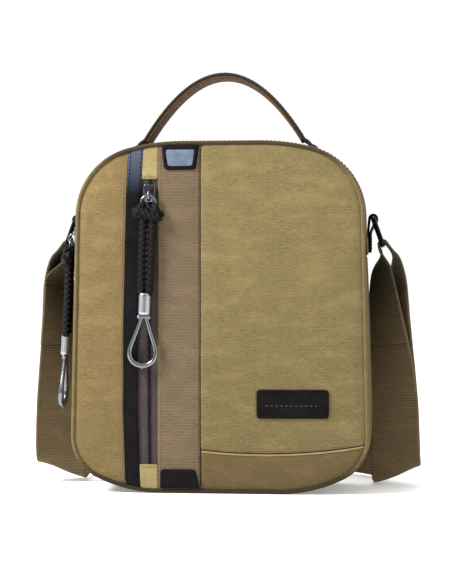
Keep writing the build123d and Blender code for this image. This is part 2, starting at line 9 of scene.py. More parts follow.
import bpy
import numpy as np
from mathutils import Vector, geometry, noise
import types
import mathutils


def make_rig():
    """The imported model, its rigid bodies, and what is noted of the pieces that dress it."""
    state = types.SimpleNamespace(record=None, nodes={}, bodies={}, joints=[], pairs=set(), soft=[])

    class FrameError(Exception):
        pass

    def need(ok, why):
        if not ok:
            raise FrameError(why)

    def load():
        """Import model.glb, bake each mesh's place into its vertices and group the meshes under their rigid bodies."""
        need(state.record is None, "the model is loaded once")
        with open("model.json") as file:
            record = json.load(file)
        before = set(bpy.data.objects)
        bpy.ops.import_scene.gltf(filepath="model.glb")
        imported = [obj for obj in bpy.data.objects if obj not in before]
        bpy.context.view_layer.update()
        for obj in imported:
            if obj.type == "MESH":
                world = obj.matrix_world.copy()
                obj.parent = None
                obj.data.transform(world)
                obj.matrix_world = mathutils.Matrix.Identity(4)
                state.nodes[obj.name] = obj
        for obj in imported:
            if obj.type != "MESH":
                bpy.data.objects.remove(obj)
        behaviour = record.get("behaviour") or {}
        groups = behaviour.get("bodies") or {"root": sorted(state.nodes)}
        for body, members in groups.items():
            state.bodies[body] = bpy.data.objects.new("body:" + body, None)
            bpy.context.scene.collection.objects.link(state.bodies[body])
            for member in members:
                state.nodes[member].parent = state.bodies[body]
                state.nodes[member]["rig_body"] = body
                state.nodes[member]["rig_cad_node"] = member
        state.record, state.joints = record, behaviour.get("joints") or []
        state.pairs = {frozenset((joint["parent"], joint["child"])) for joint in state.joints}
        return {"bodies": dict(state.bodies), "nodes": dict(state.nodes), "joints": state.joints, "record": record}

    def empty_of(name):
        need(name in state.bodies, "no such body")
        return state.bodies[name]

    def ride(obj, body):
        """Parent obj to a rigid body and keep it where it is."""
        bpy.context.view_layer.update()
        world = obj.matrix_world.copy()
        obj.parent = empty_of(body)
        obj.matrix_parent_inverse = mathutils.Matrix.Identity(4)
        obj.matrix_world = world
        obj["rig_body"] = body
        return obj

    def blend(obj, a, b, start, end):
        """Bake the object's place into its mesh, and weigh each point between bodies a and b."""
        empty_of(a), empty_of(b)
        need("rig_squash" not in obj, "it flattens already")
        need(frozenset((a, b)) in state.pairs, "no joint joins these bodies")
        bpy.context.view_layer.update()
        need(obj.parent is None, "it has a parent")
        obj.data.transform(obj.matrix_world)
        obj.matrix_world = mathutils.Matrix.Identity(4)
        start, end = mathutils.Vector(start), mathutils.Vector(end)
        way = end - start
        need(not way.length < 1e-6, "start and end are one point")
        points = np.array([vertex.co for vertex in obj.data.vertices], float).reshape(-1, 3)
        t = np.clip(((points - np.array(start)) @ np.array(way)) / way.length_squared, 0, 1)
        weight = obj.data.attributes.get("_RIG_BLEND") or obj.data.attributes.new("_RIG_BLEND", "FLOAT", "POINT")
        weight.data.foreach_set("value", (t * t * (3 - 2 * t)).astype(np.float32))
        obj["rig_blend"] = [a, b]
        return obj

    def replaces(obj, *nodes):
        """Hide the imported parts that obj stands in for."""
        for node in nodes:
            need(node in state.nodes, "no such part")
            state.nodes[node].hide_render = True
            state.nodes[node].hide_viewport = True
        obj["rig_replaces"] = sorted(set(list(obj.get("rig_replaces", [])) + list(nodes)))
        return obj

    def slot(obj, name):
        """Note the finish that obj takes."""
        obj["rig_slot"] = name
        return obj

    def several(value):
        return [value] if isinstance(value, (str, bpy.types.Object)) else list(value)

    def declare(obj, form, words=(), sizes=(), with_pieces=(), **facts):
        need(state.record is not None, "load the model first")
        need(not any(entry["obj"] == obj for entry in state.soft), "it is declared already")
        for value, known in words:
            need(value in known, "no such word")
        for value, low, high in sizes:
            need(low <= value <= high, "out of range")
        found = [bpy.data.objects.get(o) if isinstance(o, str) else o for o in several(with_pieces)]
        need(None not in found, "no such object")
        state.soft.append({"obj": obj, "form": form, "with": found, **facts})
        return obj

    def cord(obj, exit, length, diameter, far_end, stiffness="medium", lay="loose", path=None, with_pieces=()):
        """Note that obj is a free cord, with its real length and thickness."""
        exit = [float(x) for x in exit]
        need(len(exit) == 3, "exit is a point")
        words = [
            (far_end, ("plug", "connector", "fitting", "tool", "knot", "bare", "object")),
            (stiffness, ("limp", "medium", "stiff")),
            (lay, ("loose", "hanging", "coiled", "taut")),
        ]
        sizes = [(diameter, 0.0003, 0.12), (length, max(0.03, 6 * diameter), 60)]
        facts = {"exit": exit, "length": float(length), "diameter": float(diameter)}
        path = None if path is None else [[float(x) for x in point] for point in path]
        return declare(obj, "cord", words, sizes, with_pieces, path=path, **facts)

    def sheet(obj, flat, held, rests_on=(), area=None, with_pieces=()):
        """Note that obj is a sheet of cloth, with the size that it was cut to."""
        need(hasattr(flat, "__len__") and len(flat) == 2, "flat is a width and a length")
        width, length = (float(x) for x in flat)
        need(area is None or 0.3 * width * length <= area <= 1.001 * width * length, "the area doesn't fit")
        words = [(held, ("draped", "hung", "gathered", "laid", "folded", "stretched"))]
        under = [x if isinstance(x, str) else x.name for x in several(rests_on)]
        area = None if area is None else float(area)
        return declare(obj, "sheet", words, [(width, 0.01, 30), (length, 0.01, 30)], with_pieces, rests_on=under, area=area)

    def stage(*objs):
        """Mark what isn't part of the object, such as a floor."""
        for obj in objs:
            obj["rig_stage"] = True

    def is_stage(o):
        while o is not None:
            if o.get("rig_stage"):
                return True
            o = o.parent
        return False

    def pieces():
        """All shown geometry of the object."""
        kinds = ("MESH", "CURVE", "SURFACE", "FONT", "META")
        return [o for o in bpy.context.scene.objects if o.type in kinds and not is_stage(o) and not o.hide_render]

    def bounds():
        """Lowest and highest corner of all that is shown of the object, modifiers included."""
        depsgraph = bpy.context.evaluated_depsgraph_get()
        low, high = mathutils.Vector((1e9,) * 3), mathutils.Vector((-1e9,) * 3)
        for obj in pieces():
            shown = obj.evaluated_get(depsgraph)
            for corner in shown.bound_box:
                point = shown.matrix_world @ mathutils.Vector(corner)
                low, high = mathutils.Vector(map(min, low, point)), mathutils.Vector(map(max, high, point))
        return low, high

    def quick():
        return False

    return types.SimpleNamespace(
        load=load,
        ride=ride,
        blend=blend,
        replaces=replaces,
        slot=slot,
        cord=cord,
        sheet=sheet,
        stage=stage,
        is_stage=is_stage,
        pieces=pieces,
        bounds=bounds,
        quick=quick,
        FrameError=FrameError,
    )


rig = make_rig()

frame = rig.load()
CAD_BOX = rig.bounds()
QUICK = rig.quick()
STEP = 4.0 if QUICK else 2.2

HEIGHT, HALF_LOW, HALF_HIGH = 259.0, 111.0, 105.5
LOW_CORNER = (110.0, 26.0, 34.0)
HIGH_CORNER = (160.0, 14.0, 52.0)
SIDES = ((-1, "left"), (1, "right"))
SLOPE = math.atan((HALF_LOW - HALF_HIGH) / HEIGHT)
PANEL_INSET = 2.3
STRIP_LEFT, ZIP_LEFT, ZIP_X, ZIP_RIGHT, BAND_RIGHT = -69.4, -58.4, -51.0, -45.0, -13.6
ZIP_LOW, ZIP_HIGH = 21.3, 231.0
MAIN_ZIP_Y, ZIP_END = -22.0, 176.0
STRAP_Y, STRAP_WIDTH, STRAP_THICK, STRAP_LAYER = 13.5, 38.0, 1.9, 2.4
PIVOT, BAR = (112.5, 203.0), (119.55, 183.64)
BAR_TURN = np.radians(np.linspace(188, 44, 9))
RUN_Y, RUN_Z = 108.0, 22.2  # the strap's run behind the bag
FRONT_Y, BACK_Y = -37.6, 37.4  # where the panels' seams lie
GUSSET_EDGE, ZIP_GAP = 36.5, 5.5  # half the gusset's width, and half its opening for the main zip
FOOT_CUT = 34.0  # straight cut, bent to the curved seam
POCKET_TOP, BINDING = 172, (171, 183)
HANDLE_Y, HANDLE_TOP, HANDLE_RISE, HANDLE_SPAN = 12.0, 314, 56, 65
LABEL = (27.9, 80.7, 55.7, 76.7)
UP_Y = (0.0, 1.0, 0.0)


def linked(name, data):
    obj = bpy.data.objects.new(name, data)
    bpy.context.scene.collection.objects.link(obj)
    return obj


# ---------------------------------------------------------------- camera
def camera():
    turn, reach = math.radians(5.6), 1.24
    data = bpy.data.cameras.new("camera")
    data.lens, data.sensor_width, data.clip_end = 101, 36, 50
    cam = linked("camera", data)
    cam.location = (reach * math.sin(turn) + 0.0015, -reach * math.cos(turn), 0.148)
    cam.rotation_euler = (math.pi / 2, 0, turn)
    bpy.context.scene.camera = cam


# ---------------------------------------------------------------- materials
LIGHTS_SHARE = 0.8


class Nodes:
    """A material's node tree, written as calls."""

    def __init__(self, name, color, rough, metal=0.0):
        self.mat = bpy.data.materials.new(name)
        self.mat.use_nodes = True
        self.tree = self.mat.node_tree
        self.out = self.tree.nodes["Principled BSDF"]
        self.set("Base Color", color)
        self.set("Roughness", rough)
        self.set("Metallic", metal)

    def set(self, socket, value):
        if isinstance(value, bpy.types.NodeSocket):
            self.tree.links.new(value, self.out.inputs[socket])
        else:
            if isinstance(value, tuple) and len(value) == 3:
                value = (*value, 1)
            self.out.inputs[socket].default_value = value

    def add(self, kind, inputs=None, **settings):
        node = self.tree.nodes.new(kind)
        for key, value in settings.items():
            setattr(node, key, value)
        for key, value in (inputs or {}).items():
            if isinstance(value, bpy.types.NodeSocket):
                self.tree.links.new(value, node.inputs[key])
            else:
                node.inputs[key].default_value = value
        return node

    def math(self, operation, a, b=0.0):
        return self.add("ShaderNodeMath", {0: a, 1: b}, operation=operation).outputs[0]

    def times(self, a, b):
        return self.math("MULTIPLY", a, b)

    def plus(self, a, b):
        return self.math("ADD", a, b)

    def height_z(self):
        where = self.add("ShaderNodeTexCoord").outputs["Object"]
        return self.add("ShaderNodeSeparateXYZ", {0: where}).outputs[2]

    def mix(self, factor, a, b, blend="MIX"):
        pair = [(*v, 1) if isinstance(v, tuple) and len(v) == 3 else v for v in (a, b)]
        inputs = {0: factor, 6: pair[0], 7: pair[1]}
        return self.add("ShaderNodeMix", inputs, data_type="RGBA", blend_type=blend).outputs[2]

    def uv(self, x=1.0, y=1.0):
        """The piece's own flat coordinates, in tenths of a metre times the scales."""
        uv = self.add("ShaderNodeTexCoord").outputs["UV"]
        return self.add("ShaderNodeMapping", {"Vector": uv, "Scale": (x, y, 1)}).outputs[0]

    def noise(self, vector, scale, detail=3.0, rough=0.6):
        inputs = {"Vector": vector, "Scale": scale, "Detail": detail, "Roughness": rough}
        return self.add("ShaderNodeTexNoise", inputs).outputs[0]

    def ramp(self, value, low, high, to_low=0.0, to_high=1.0):
        inputs = {0: value, 1: low, 2: high, 3: to_low, 4: to_high}
        return self.add("ShaderNodeMapRange", inputs).outputs[0]

    def bump(self, height, distance, strength=1.0):
        inputs = {"Height": height, "Distance": distance, "Strength": strength}
        self.set("Normal", self.add("ShaderNodeBump", inputs).outputs[0])


def srgb(r, g, b):
    """A colour as it looks on a screen, dimmed to suit the lights."""
    return tuple(LIGHTS_SHARE * ((v / 255 + 0.055) / 1.055) ** 2.4 for v in (r, g, b))


def cloth(name, color, dark, pitch=1.0, ribs=0.35, streak=0.5, bump=0.00022, warp_share=0.35, shift=None):
    """Woven cloth. UV is in tenths of a metre, so 100/pitch threads fit in one unit."""
    n = Nodes(name, color, 0.88)
    threads = 100 / pitch
    plain = n.uv()
    split = n.add("ShaderNodeSeparateXYZ", {0: plain})
    wobble = n.times(n.noise(n.uv(1, 1), 60, 2), 0.012)
    weft = n.math("SINE", n.times(n.plus(split.outputs[1], wobble), threads * math.pi * 2))
    warp = n.math("SINE", n.times(split.outputs[0], 90 * math.pi * 2))
    over = n.times(warp, warp_share)
    height = n.plus(n.times(n.plus(weft, 1.0), 0.5), over)
    slub = n.noise(n.uv(0.6, 6.0), 34, 4, 0.7)
    fleck = n.noise(n.uv(1.6, 3.2), 60, 3, 0.7)
    # Random mottling of the washed canvas, partly painted shade and painted highlights of soft creases: this noise
    # darkens patches.
    cloud = n.noise(plain, 3.2, 3, 0.55)
    shade = n.plus(n.times(n.ramp(slub, 0.36, 0.66), streak), n.times(height, ribs))
    shade = n.plus(shade, n.times(n.ramp(fleck, 0.4, 0.62), 0.34))
    tone = n.mix(n.ramp(shade, 0.0, streak + ribs + 0.2), dark, color)
    tone = n.mix(n.ramp(cloud, 0.38, 0.66, 0.0, 0.45), tone, tuple(v * 0.64 for v in color))
    # Streaked patches made lighter: random tone, partly painted highlights of soft creases.
    mottle_and_crease_light = n.noise(n.uv(0.7, 1.8), 5, 5, 0.65)
    tone = n.mix(n.ramp(mottle_and_crease_light, 0.48, 0.74, 0.0, 0.34), tone, tuple(v * 1.3 for v in color))
    # shift paints shade by height: each (low, high, tint) multiplies the tone by tint, fading in from height low to
    # height high.
    for low, high, other in shift or ():
        tone = n.mix(n.ramp(n.height_z(), low, high), tone, n.mix(1.0, tone, other, "MULTIPLY"))
    n.set("Base Color", tone)
    n.set("Sheen Weight", 0.12)
    n.set("Sheen Roughness", 0.5)
    n.set("Sheen Tint", (*[min(1, v * 1.6 + 0.1) for v in color], 1))
    n.set("Specular IOR Level", 0.2)
    total = n.plus(n.times(height, 0.6), n.plus(slub, n.times(fleck, 0.6)))
    n.bump(total, bump)
    return n.mat


def leather(name, color, rough, pitch=120, bump=0.00012, lit=None):
    n = Nodes(name, color, rough)
    plain = n.uv()
    inputs = {"Vector": plain, "Scale": pitch * 0.55}
    cells = n.add("ShaderNodeTexVoronoi", inputs, feature="DISTANCE_TO_EDGE").outputs[0]
    grain = n.noise(plain, pitch, 3)
    scuff = n.noise(plain, 9, 4, 0.65)
    tone = n.mix(n.ramp(scuff, 0.35, 0.75), color, tuple(v * 1.8 + 0.002 for v in color))
    # lit paints a highlight: the colour turns paler towards the top, between heights lit[0] and lit[1].
    if lit:
        tone = n.mix(n.ramp(n.height_z(), *lit[:2]), tone, lit[2])
    n.set("Base Color", tone)
    n.set("Roughness", n.ramp(scuff, 0.3, 0.8, rough - 0.08, rough + 0.14))
    n.set("Specular IOR Level", 0.07)
    n.bump(n.plus(n.times(n.ramp(cells, 0.0, 0.12), 0.5), grain), bump)
    return n.mat


def metal(name, color, rough, wear=0.04):
    n = Nodes(name, color, rough, 1.0)
    spots = n.noise(n.add("ShaderNodeTexCoord").outputs["Object"], 260, 2)
    n.set("Roughness", n.ramp(spots, 0.3, 0.7, rough - wear, rough + wear))
    return n.mat


def thread(name, color, rough=0.75, specular=0.12):
    n = Nodes(name, color, rough)
    n.set("Specular IOR Level", specular)
    fibre = n.noise(n.uv(1, 6), 160, 3)
    n.set("Base Color", n.mix(n.ramp(fibre, 0.3, 0.7), tuple(v * 0.55 for v in color), color))
    n.bump(fibre, 0.00008)
    return n.mat


# name: light colour, dark colour, then what cloth() takes after them
CLOTHS = {
    # Darker from 0.21 m down to 0.06 m: painted shade, with the top lit more.
    "canvas": (
        (148, 131, 86), (68, 58, 35), 1.05, 0.35, 0.6, 0.00022, 0.35, [(0.21, 0.06, (0.86, 0.86, 0.86))]
    ),
    # A darker copy of the canvas for the lower front piece by the floor: painted shade.
    "canvas_lower": ((117, 98, 63), (66, 54, 32), 1.05, 0.35, 0.6),
    "canvas_tab": ((172, 154, 106), (118, 103, 62), 1.05),
    # Darker from 0.21 m down to 0.06 m: painted shade, with the top lit more.
    "canvas_left": (
        (152, 128, 83), (68, 56, 33), 1.05, 0.35, 0.65, 0.00022, 0.35, [(0.21, 0.06, (0.85, 0.86, 0.86))]
    ),
    # Darker than the other canvas: painted shade on the band round the sides.
    "gusset_canvas": ((112, 98, 60), (64, 56, 34), 1.05),
    "back_canvas": ((150, 130, 84), (96, 82, 50), 1.05),
    "band_webbing": ((124, 106, 82), (78, 63, 49), 2.2, 0.2, 0.5, 0.0003, 0.08),
    # Darker above 0.125 to 0.15 m: painted shade on the upper legs, which face the bag.
    "strap_webbing": (
        (119, 100, 70), (58, 47, 33), 1.9, 0.5, 0.3, 0.00035, 0.08, [(0.125, 0.15, (0.6, 0.66, 0.62))]
    ),
    "handle_webbing": ((62, 56, 40), (26, 24, 18), 1.7, 0.5, 0.3, 0.00035, 0.1),
    "handle_lining": ((116, 86, 60), (60, 43, 32), 1.4, 0.5, 0.3, 0.0003, 0.1),
    "zip_tape": ((78, 69, 67), (36, 30, 32), 1.5, 0.12, 0.3, 0.00015, 0.1),
    # Darker along the top and the bottom: painted shade in the seams there.
    "piping": (
        (128, 112, 72), (70, 60, 38), 0.9, 0.4, 0.3, 0.00015, 0.3,
        [(0.232, 0.25, (0.36, 0.33, 0.33)), (0.034, 0.012, (0.22, 0.19, 0.17))],
    ),
    "lining": ((96, 90, 78), (66, 62, 54), 0.7, 0.3, 0.2, 0.0001),
}
M = {name: cloth(name, srgb(*light), srgb(*dark), *rest) for name, (light, dark, *rest) in CLOTHS.items()}
M["leather"] = leather("leather", srgb(9, 7, 11), 0.42)
# The strip's top is paler: painted highlight where the light reflects.
M["leather_strip"] = leather("leather_strip", srgb(9, 7, 11), 0.42, lit=(0.220, 0.246, srgb(70, 78, 94)))
for name, kind, colour, *rest in (
    # A pale bluish leather that paints the reflection of the top light.
    ("leather_sheen", leather, (88, 97, 112), 0.5),
    ("label", leather, (9, 7, 8), 0.5),
    ("silver", metal, (128, 129, 133), 0.22),
    # A paler copy of silver for the ferrule: painted highlight.
    ("silver_light", metal, (178, 179, 184), 0.3),
    ("black_metal", metal, (28, 28, 32), 0.34),
    ("cord", thread, (13, 13, 15), 0.55, 0.14),
    ("coil", thread, (30, 24, 24), 0.4),
    ("stitch_tan", thread, (150, 124, 90)),
    ("stitch_dark", thread, (46, 32, 26)),
    ("stitch_black", thread, (16, 14, 16)),
):
    M[name] = kind(name, srgb(*colour), *rest)


# ---------------------------------------------------------------- meshes
def mesh(name, verts, faces, mat, uvs=None):
    data = bpy.data.meshes.new(name)
    data.from_pydata([tuple(v) for v in np.asarray(verts) * 0.001], [], [list(f) for f in faces])
    data.materials.append(M[mat])
    layer = data.uv_layers.new(name="UVMap")
    if uvs is None:
        uvs = np.asarray(verts)[:, [0, 2]]
    flat = (np.asarray(uvs, float) * 0.01)[[loop.vertex_index for loop in data.loops]]
    layer.data.foreach_set("uv", flat.reshape(-1).astype(np.float32))
    data.polygons.foreach_set("use_smooth", [True] * len(data.polygons))
    data.update()
    return linked(name, data)


def place(obj, body, slot, *nodes):
    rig.ride(obj, body)
    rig.slot(obj, slot)
    if nodes:
        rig.replaces(obj, *nodes)
    return obj


def on_bag(obj, slot, *nodes):
    return place(obj, "bag", slot, *nodes)


def across(points, direction=UP_Y):
    """The same edge direction at every point of a line."""
    return np.tile(direction, (len(points), 1))


def line_length(points):
    return float(np.sum(np.linalg.norm(np.diff(points, axis=0), axis=1)))


def sew(slot, *how):
    """A row of stitches on the bag. The rest is what stitches() takes."""
    on_bag(stitches(*how), slot)


def half_width(z, inset=0.0):
    return HALF_LOW - z * math.tan(SLOPE) - inset / math.cos(SLOPE)


def outline(inset, step=2.0):
    """The bag's outline: points (x, z) anticlockwise from the middle of the underside."""
    half = [(0.0, inset)]
    for (flat_r, turn, tight_r), up in ((LOW_CORNER, -1), (HIGH_CORNER, 1)):
        turn = math.radians(turn)
        flat_z = HEIGHT - flat_r if up > 0 else flat_r
        tight_z = flat_z + up * (flat_r - tight_r) * math.cos(turn)
        tight_x = half_width(tight_z, tight_r)
        flat_x = tight_x - (flat_r - tight_r) * math.sin(turn)
        knee = up * (math.pi / 2 - turn)
        arcs = [(flat_x, flat_z, flat_r, up * math.pi / 2, knee), (tight_x, tight_z, tight_r, knee, SLOPE)]
        if up > 0:
            arcs = [(x, z, r, b, a) for x, z, r, a, b in reversed(arcs)]
        for x, z, r, a, b in arcs:
            for k in range(25):
                angle = a + (b - a) * k / 24
                half.append((x + (r - inset) * math.cos(angle), z + (r - inset) * math.sin(angle)))
    half.append((0.0, HEIGHT - inset))
    half = np.array(half)
    loop = np.vstack([half, (half * (-1, 1))[::-1][1:-1]])
    return resample(loop, step, True)


def resample(points, step, closed=False):
    """Points at even spacing along a line, in any number of dimensions."""
    points = np.asarray(points, float)
    if closed:
        points = np.vstack([points, points[:1]])
    gaps = np.linalg.norm(np.diff(points, axis=0), axis=1)
    keep = np.concatenate([[True], gaps > 1e-6])
    points = points[keep]
    along = np.concatenate([[0], np.cumsum(gaps[gaps > 1e-6])])
    count = max(2, int(round(along[-1] / step)))
    at = np.linspace(0, along[-1], count + 1)
    out = np.stack([np.interp(at, along, points[:, k]) for k in range(points.shape[1])], 1)
    return out[:-1] if closed else out


def unit(v):
    return v / np.maximum(np.linalg.norm(v, axis=-1, keepdims=True), 1e-9)


def tangents(points, closed=False):
    if closed:
        return unit(np.roll(points, -1, 0) - np.roll(points, 1, 0))
    return unit(np.gradient(points, axis=0))


def sweep(name, points, edges, profile, mat, closed=False):
    """A skin round a line. Each row is the profile's (a, b) offsets along the edge and the face direction."""
    points, edges = np.asarray(points, float), np.asarray(edges, float)
    along = tangents(points, closed)
    edges = unit(edges - along * np.sum(edges * along, 1, keepdims=True))
    normals = np.cross(along, edges)
    rows, count = len(points), None
    verts, uvs, length = [], [], 0.0
    for i in range(rows):
        if i:
            length += np.linalg.norm(points[i] - points[i - 1])
        shape = np.asarray(profile(i, length) if callable(profile) else profile, float)
        count = len(shape)
        verts.append(points[i] + shape[:, :1] * edges[i] + shape[:, 1:] * normals[i])
        around = np.concatenate([[0], np.cumsum(np.linalg.norm(np.diff(shape, axis=0), axis=1))])
        uvs.append(np.stack([around, np.full(count, length)], 1))
    faces = []
    for i in range(rows if closed else rows - 1):
        j = (i + 1) % rows
        for k in range(count):
            m = (k + 1) % count
            faces.append((i * count + k, i * count + m, j * count + m, j * count + k))
    if not closed:
        faces.append(tuple(range(count))[::-1])
        faces.append(tuple((rows - 1) * count + k for k in range(count)))
    return mesh(name, np.vstack(verts), faces, mat, np.vstack(uvs))


def flat_profile(width, thick, bead=0.15, count=14):
    """A strap's section: flat, with rounded edges a little thicker than its middle."""
    half = width / 2
    a = np.concatenate([[-half, -half + 0.25, -half + 0.9], np.linspace(-half + 2.2, half - 2.2, count)])
    a = np.concatenate([a, [half - 0.9, half - 0.25, half]])
    b = np.full(len(a), thick / 2)
    b[[0, -1]] = 0.15 * thick
    b[[1, -2]] = 0.42 * thick
    b[[2, -3]] = thick / 2 + bead / 2
    return np.concatenate([np.stack([a, b], 1), np.stack([a[::-1], -b[::-1]], 1)])


def circle(radius, count=12):
    turn = np.linspace(0, 2 * math.pi, count, endpoint=False)
    return np.stack([np.cos(turn), np.sin(turn)], 1) * radius


def side_edges(points, closed=False):
    """Edge directions for a round tube: any that turn with the line as little as possible."""
    along = tangents(points, closed)
    start = np.cross(along[0], (0.31, 0.77, 0.56))
    edges = [start / np.linalg.norm(start)]
    for t in along[1:]:
        e = edges[-1] - t * edges[-1].dot(t)
        edges.append(e / np.linalg.norm(e))
    return np.array(edges)


def tube(name, points, radius, mat, closed=False, sides=12):
    points = np.asarray(points, float)
    shape = circle(radius, sides) if not callable(radius) else radius
    return sweep(name, points, side_edges(points, closed), shape, mat, closed)


def braided(radius, sides=32, lay=4.2, strands=4):
    """Profile of a braided cord, for sweep()."""
    turn = np.linspace(0, 2 * math.pi, sides, endpoint=False)

    def shape(_, length):
        k = 2 * math.pi * length / lay
        one, other = (np.maximum(np.sin(strands * turn + way * k), 0) ** 0.7 for way in (1, -1))
        r = radius * (0.8 + 0.19 * (one + other))
        return np.stack([r * np.cos(turn), r * np.sin(turn)], 1)

    return shape


def beads(name, pairs, radius, mat, sides=6, flat=1.0):
    """Short rounded bars between pairs of points: stitches and zip teeth."""
    verts, faces, uvs = [], [], []
    for p, q in pairs:
        p, q = np.asarray(p, float), np.asarray(q, float)
        d = unit(q - p)
        e = np.cross(d, (0.0, 1.0, 0.0) if abs(d[1]) < 0.9 else (1.0, 0.0, 0.0))
        e = unit(e)
        f = np.cross(d, e)
        base, long = len(verts), np.linalg.norm(q - p)
        for t, r in ((0.0, 0.35), (0.12, 0.85), (0.5, 1.0), (0.88, 0.85), (1.0, 0.35)):
            for k in range(sides):
                c = 2 * math.pi * k / sides
                verts.append(p + (q - p) * t + radius * r * (e * math.cos(c) + f * flat * math.sin(c)))
                uvs.append((radius * c, long * t))
        for ring in range(4):
            for k in range(sides):
                m = (k + 1) % sides
                a = base + ring * sides
                faces.append((a + k, a + m, a + sides + m, a + sides + k))
        faces.append(tuple(base + k for k in range(sides))[::-1])
        faces.append(tuple(base + 4 * sides + k for k in range(sides)))
    return mesh(name, verts, faces, mat, uvs)


def stitches(name, line, mat, pitch=3.1, length=2.3, radius=0.33):
    """Thread stitches along a line that already lies on the surface."""
    line = resample(line, pitch)
    share = length / pitch
    pairs = [(p, p + (q - p) * share) for p, q in zip(line, line[1:])]
    return beads(name, pairs, radius, mat, 6, 0.8)


# ---------------------------------------------------------------- front and back panels
BOUNDARY = outline(PANEL_INSET, 1.5)


def distance(points, loop):
    """Distance of each point to a closed loop."""
    points, loop = np.asarray(points, float), np.asarray(loop, float)
    best = np.full(len(points), 1e9)
    for p, q in zip(loop, np.roll(loop, -1, 0)):
        d = q - p
        t = np.clip(((points - p) @ d) / max(d @ d, 1e-9), 0, 1)
        best = np.minimum(best, np.linalg.norm(points - p - t[:, None] * d, axis=1))
    return best


def seam_z(x):
    """Height of the seam near the foot of the front panel."""
    t = (np.asarray(x, float) - BAND_RIGHT) / (HALF_LOW + 5 - BAND_RIGHT)
    return 32.0 * (1 - t) ** 2 + 2 * t * (1 - t) * 25.0 + 38.0 * t**2


def inside(points):
    """True where a point is within the panel's outline."""
    x, z = points[:, 0], points[:, 1]
    loop, hit = BOUNDARY, np.zeros(len(points), bool)
    for (x1, z1), (x2, z2) in zip(loop, np.roll(loop, -1, 0)):
        if z1 == z2:
            continue
        crosses = (z1 > z) != (z2 > z)
        hit ^= crosses & (x < (x2 - x1) * (z - z1) / (z2 - z1) + x1)
    return hit


def soft_noise(x, z, scale, seed):
    return np.array([noise.noise(Vector((a / scale, seed, b / scale))) for a, b in zip(x, z)])


def bulge(points, seed):
    """How far the panel stands out from its seam, in mm, for points (x, z)."""
    points = np.asarray(points, float).reshape(-1, 2)
    edge = distance(points, BOUNDARY) * np.where(inside(points), 1, 0)
    x, z = points[:, 0], points[:, 1]
    out = 2.3 * (1 - np.exp(-edge / 4.0)) + 1.7 * (1 - np.exp(-edge / 40.0))
    out += 0.9 * soft_noise(x, z, 42, seed) * np.clip(edge / 12, 0, 1)
    out += 0.40 * soft_noise(x, z, 15, seed + 5) * np.clip(edge / 8, 0, 1)
    out += 0.75 * soft_noise(x * 0.35, z, 15, seed + 9) * np.clip(edge / 10, 0, 1)
    return out


def front_out(points):
    """The same for the front, with its seams drawn in."""
    points = np.asarray(points, float).reshape(-1, 2)
    x, z = points[:, 0], points[:, 1]
    out = bulge(points, 1.0)
    for seam, depth in ((STRIP_LEFT, 0.5), (BAND_RIGHT, 0.9)):
        out -= depth * np.exp(-(((x - seam) / 3.0) ** 2))
    right = x > BAND_RIGHT
    out -= np.where(right, 0.9 * np.exp(-(((z - seam_z(x)) / 2.6) ** 2)), 0)
    pucker = 0.16 * np.sin(z * 1.1 + 2 * np.sin(z / 19)) * np.exp(-(((x - BAND_RIGHT - 3) / 5) ** 2))
    return out + pucker


def front_y(points):
    return FRONT_Y - front_out(points)


def back_y(points):
    return BACK_Y + bulge(points, 9.0)


def sway(points):
    """The small sideways wander of the strips sewn down the front."""
    x, z = points[:, 0], points[:, 1]
    near = np.exp(-(((x + 64) / 11) ** 2))
    shift = near * np.interp(z, (5, 60, 120, 177, 215, 256), (0.3, -1.5, -1.3, 0.0, 1.2, 3.4))
    return points + np.stack([shift, np.zeros(len(x))], 1)


def clip(loop, keep):
    """The part of a loop of points where keep(point) is positive."""
    out = []
    for p, q in zip(loop, np.roll(loop, -1, 0)):
        a, b = keep(p), keep(q)
        if a > 0:
            out.append(p)
        if (a > 0) != (b > 0):
            out.append(p + (q - p) * a / (a - b))
    return np.array(out)


def cut(loop, low=None, high=None, axis=0):
    """The part of a loop between two values of x, or of z with axis=1."""
    for limit, sign in ((low, 1), (high, -1)):
        if limit is not None:
            loop = clip(loop, lambda p: sign * (p[axis] - limit))
    return loop


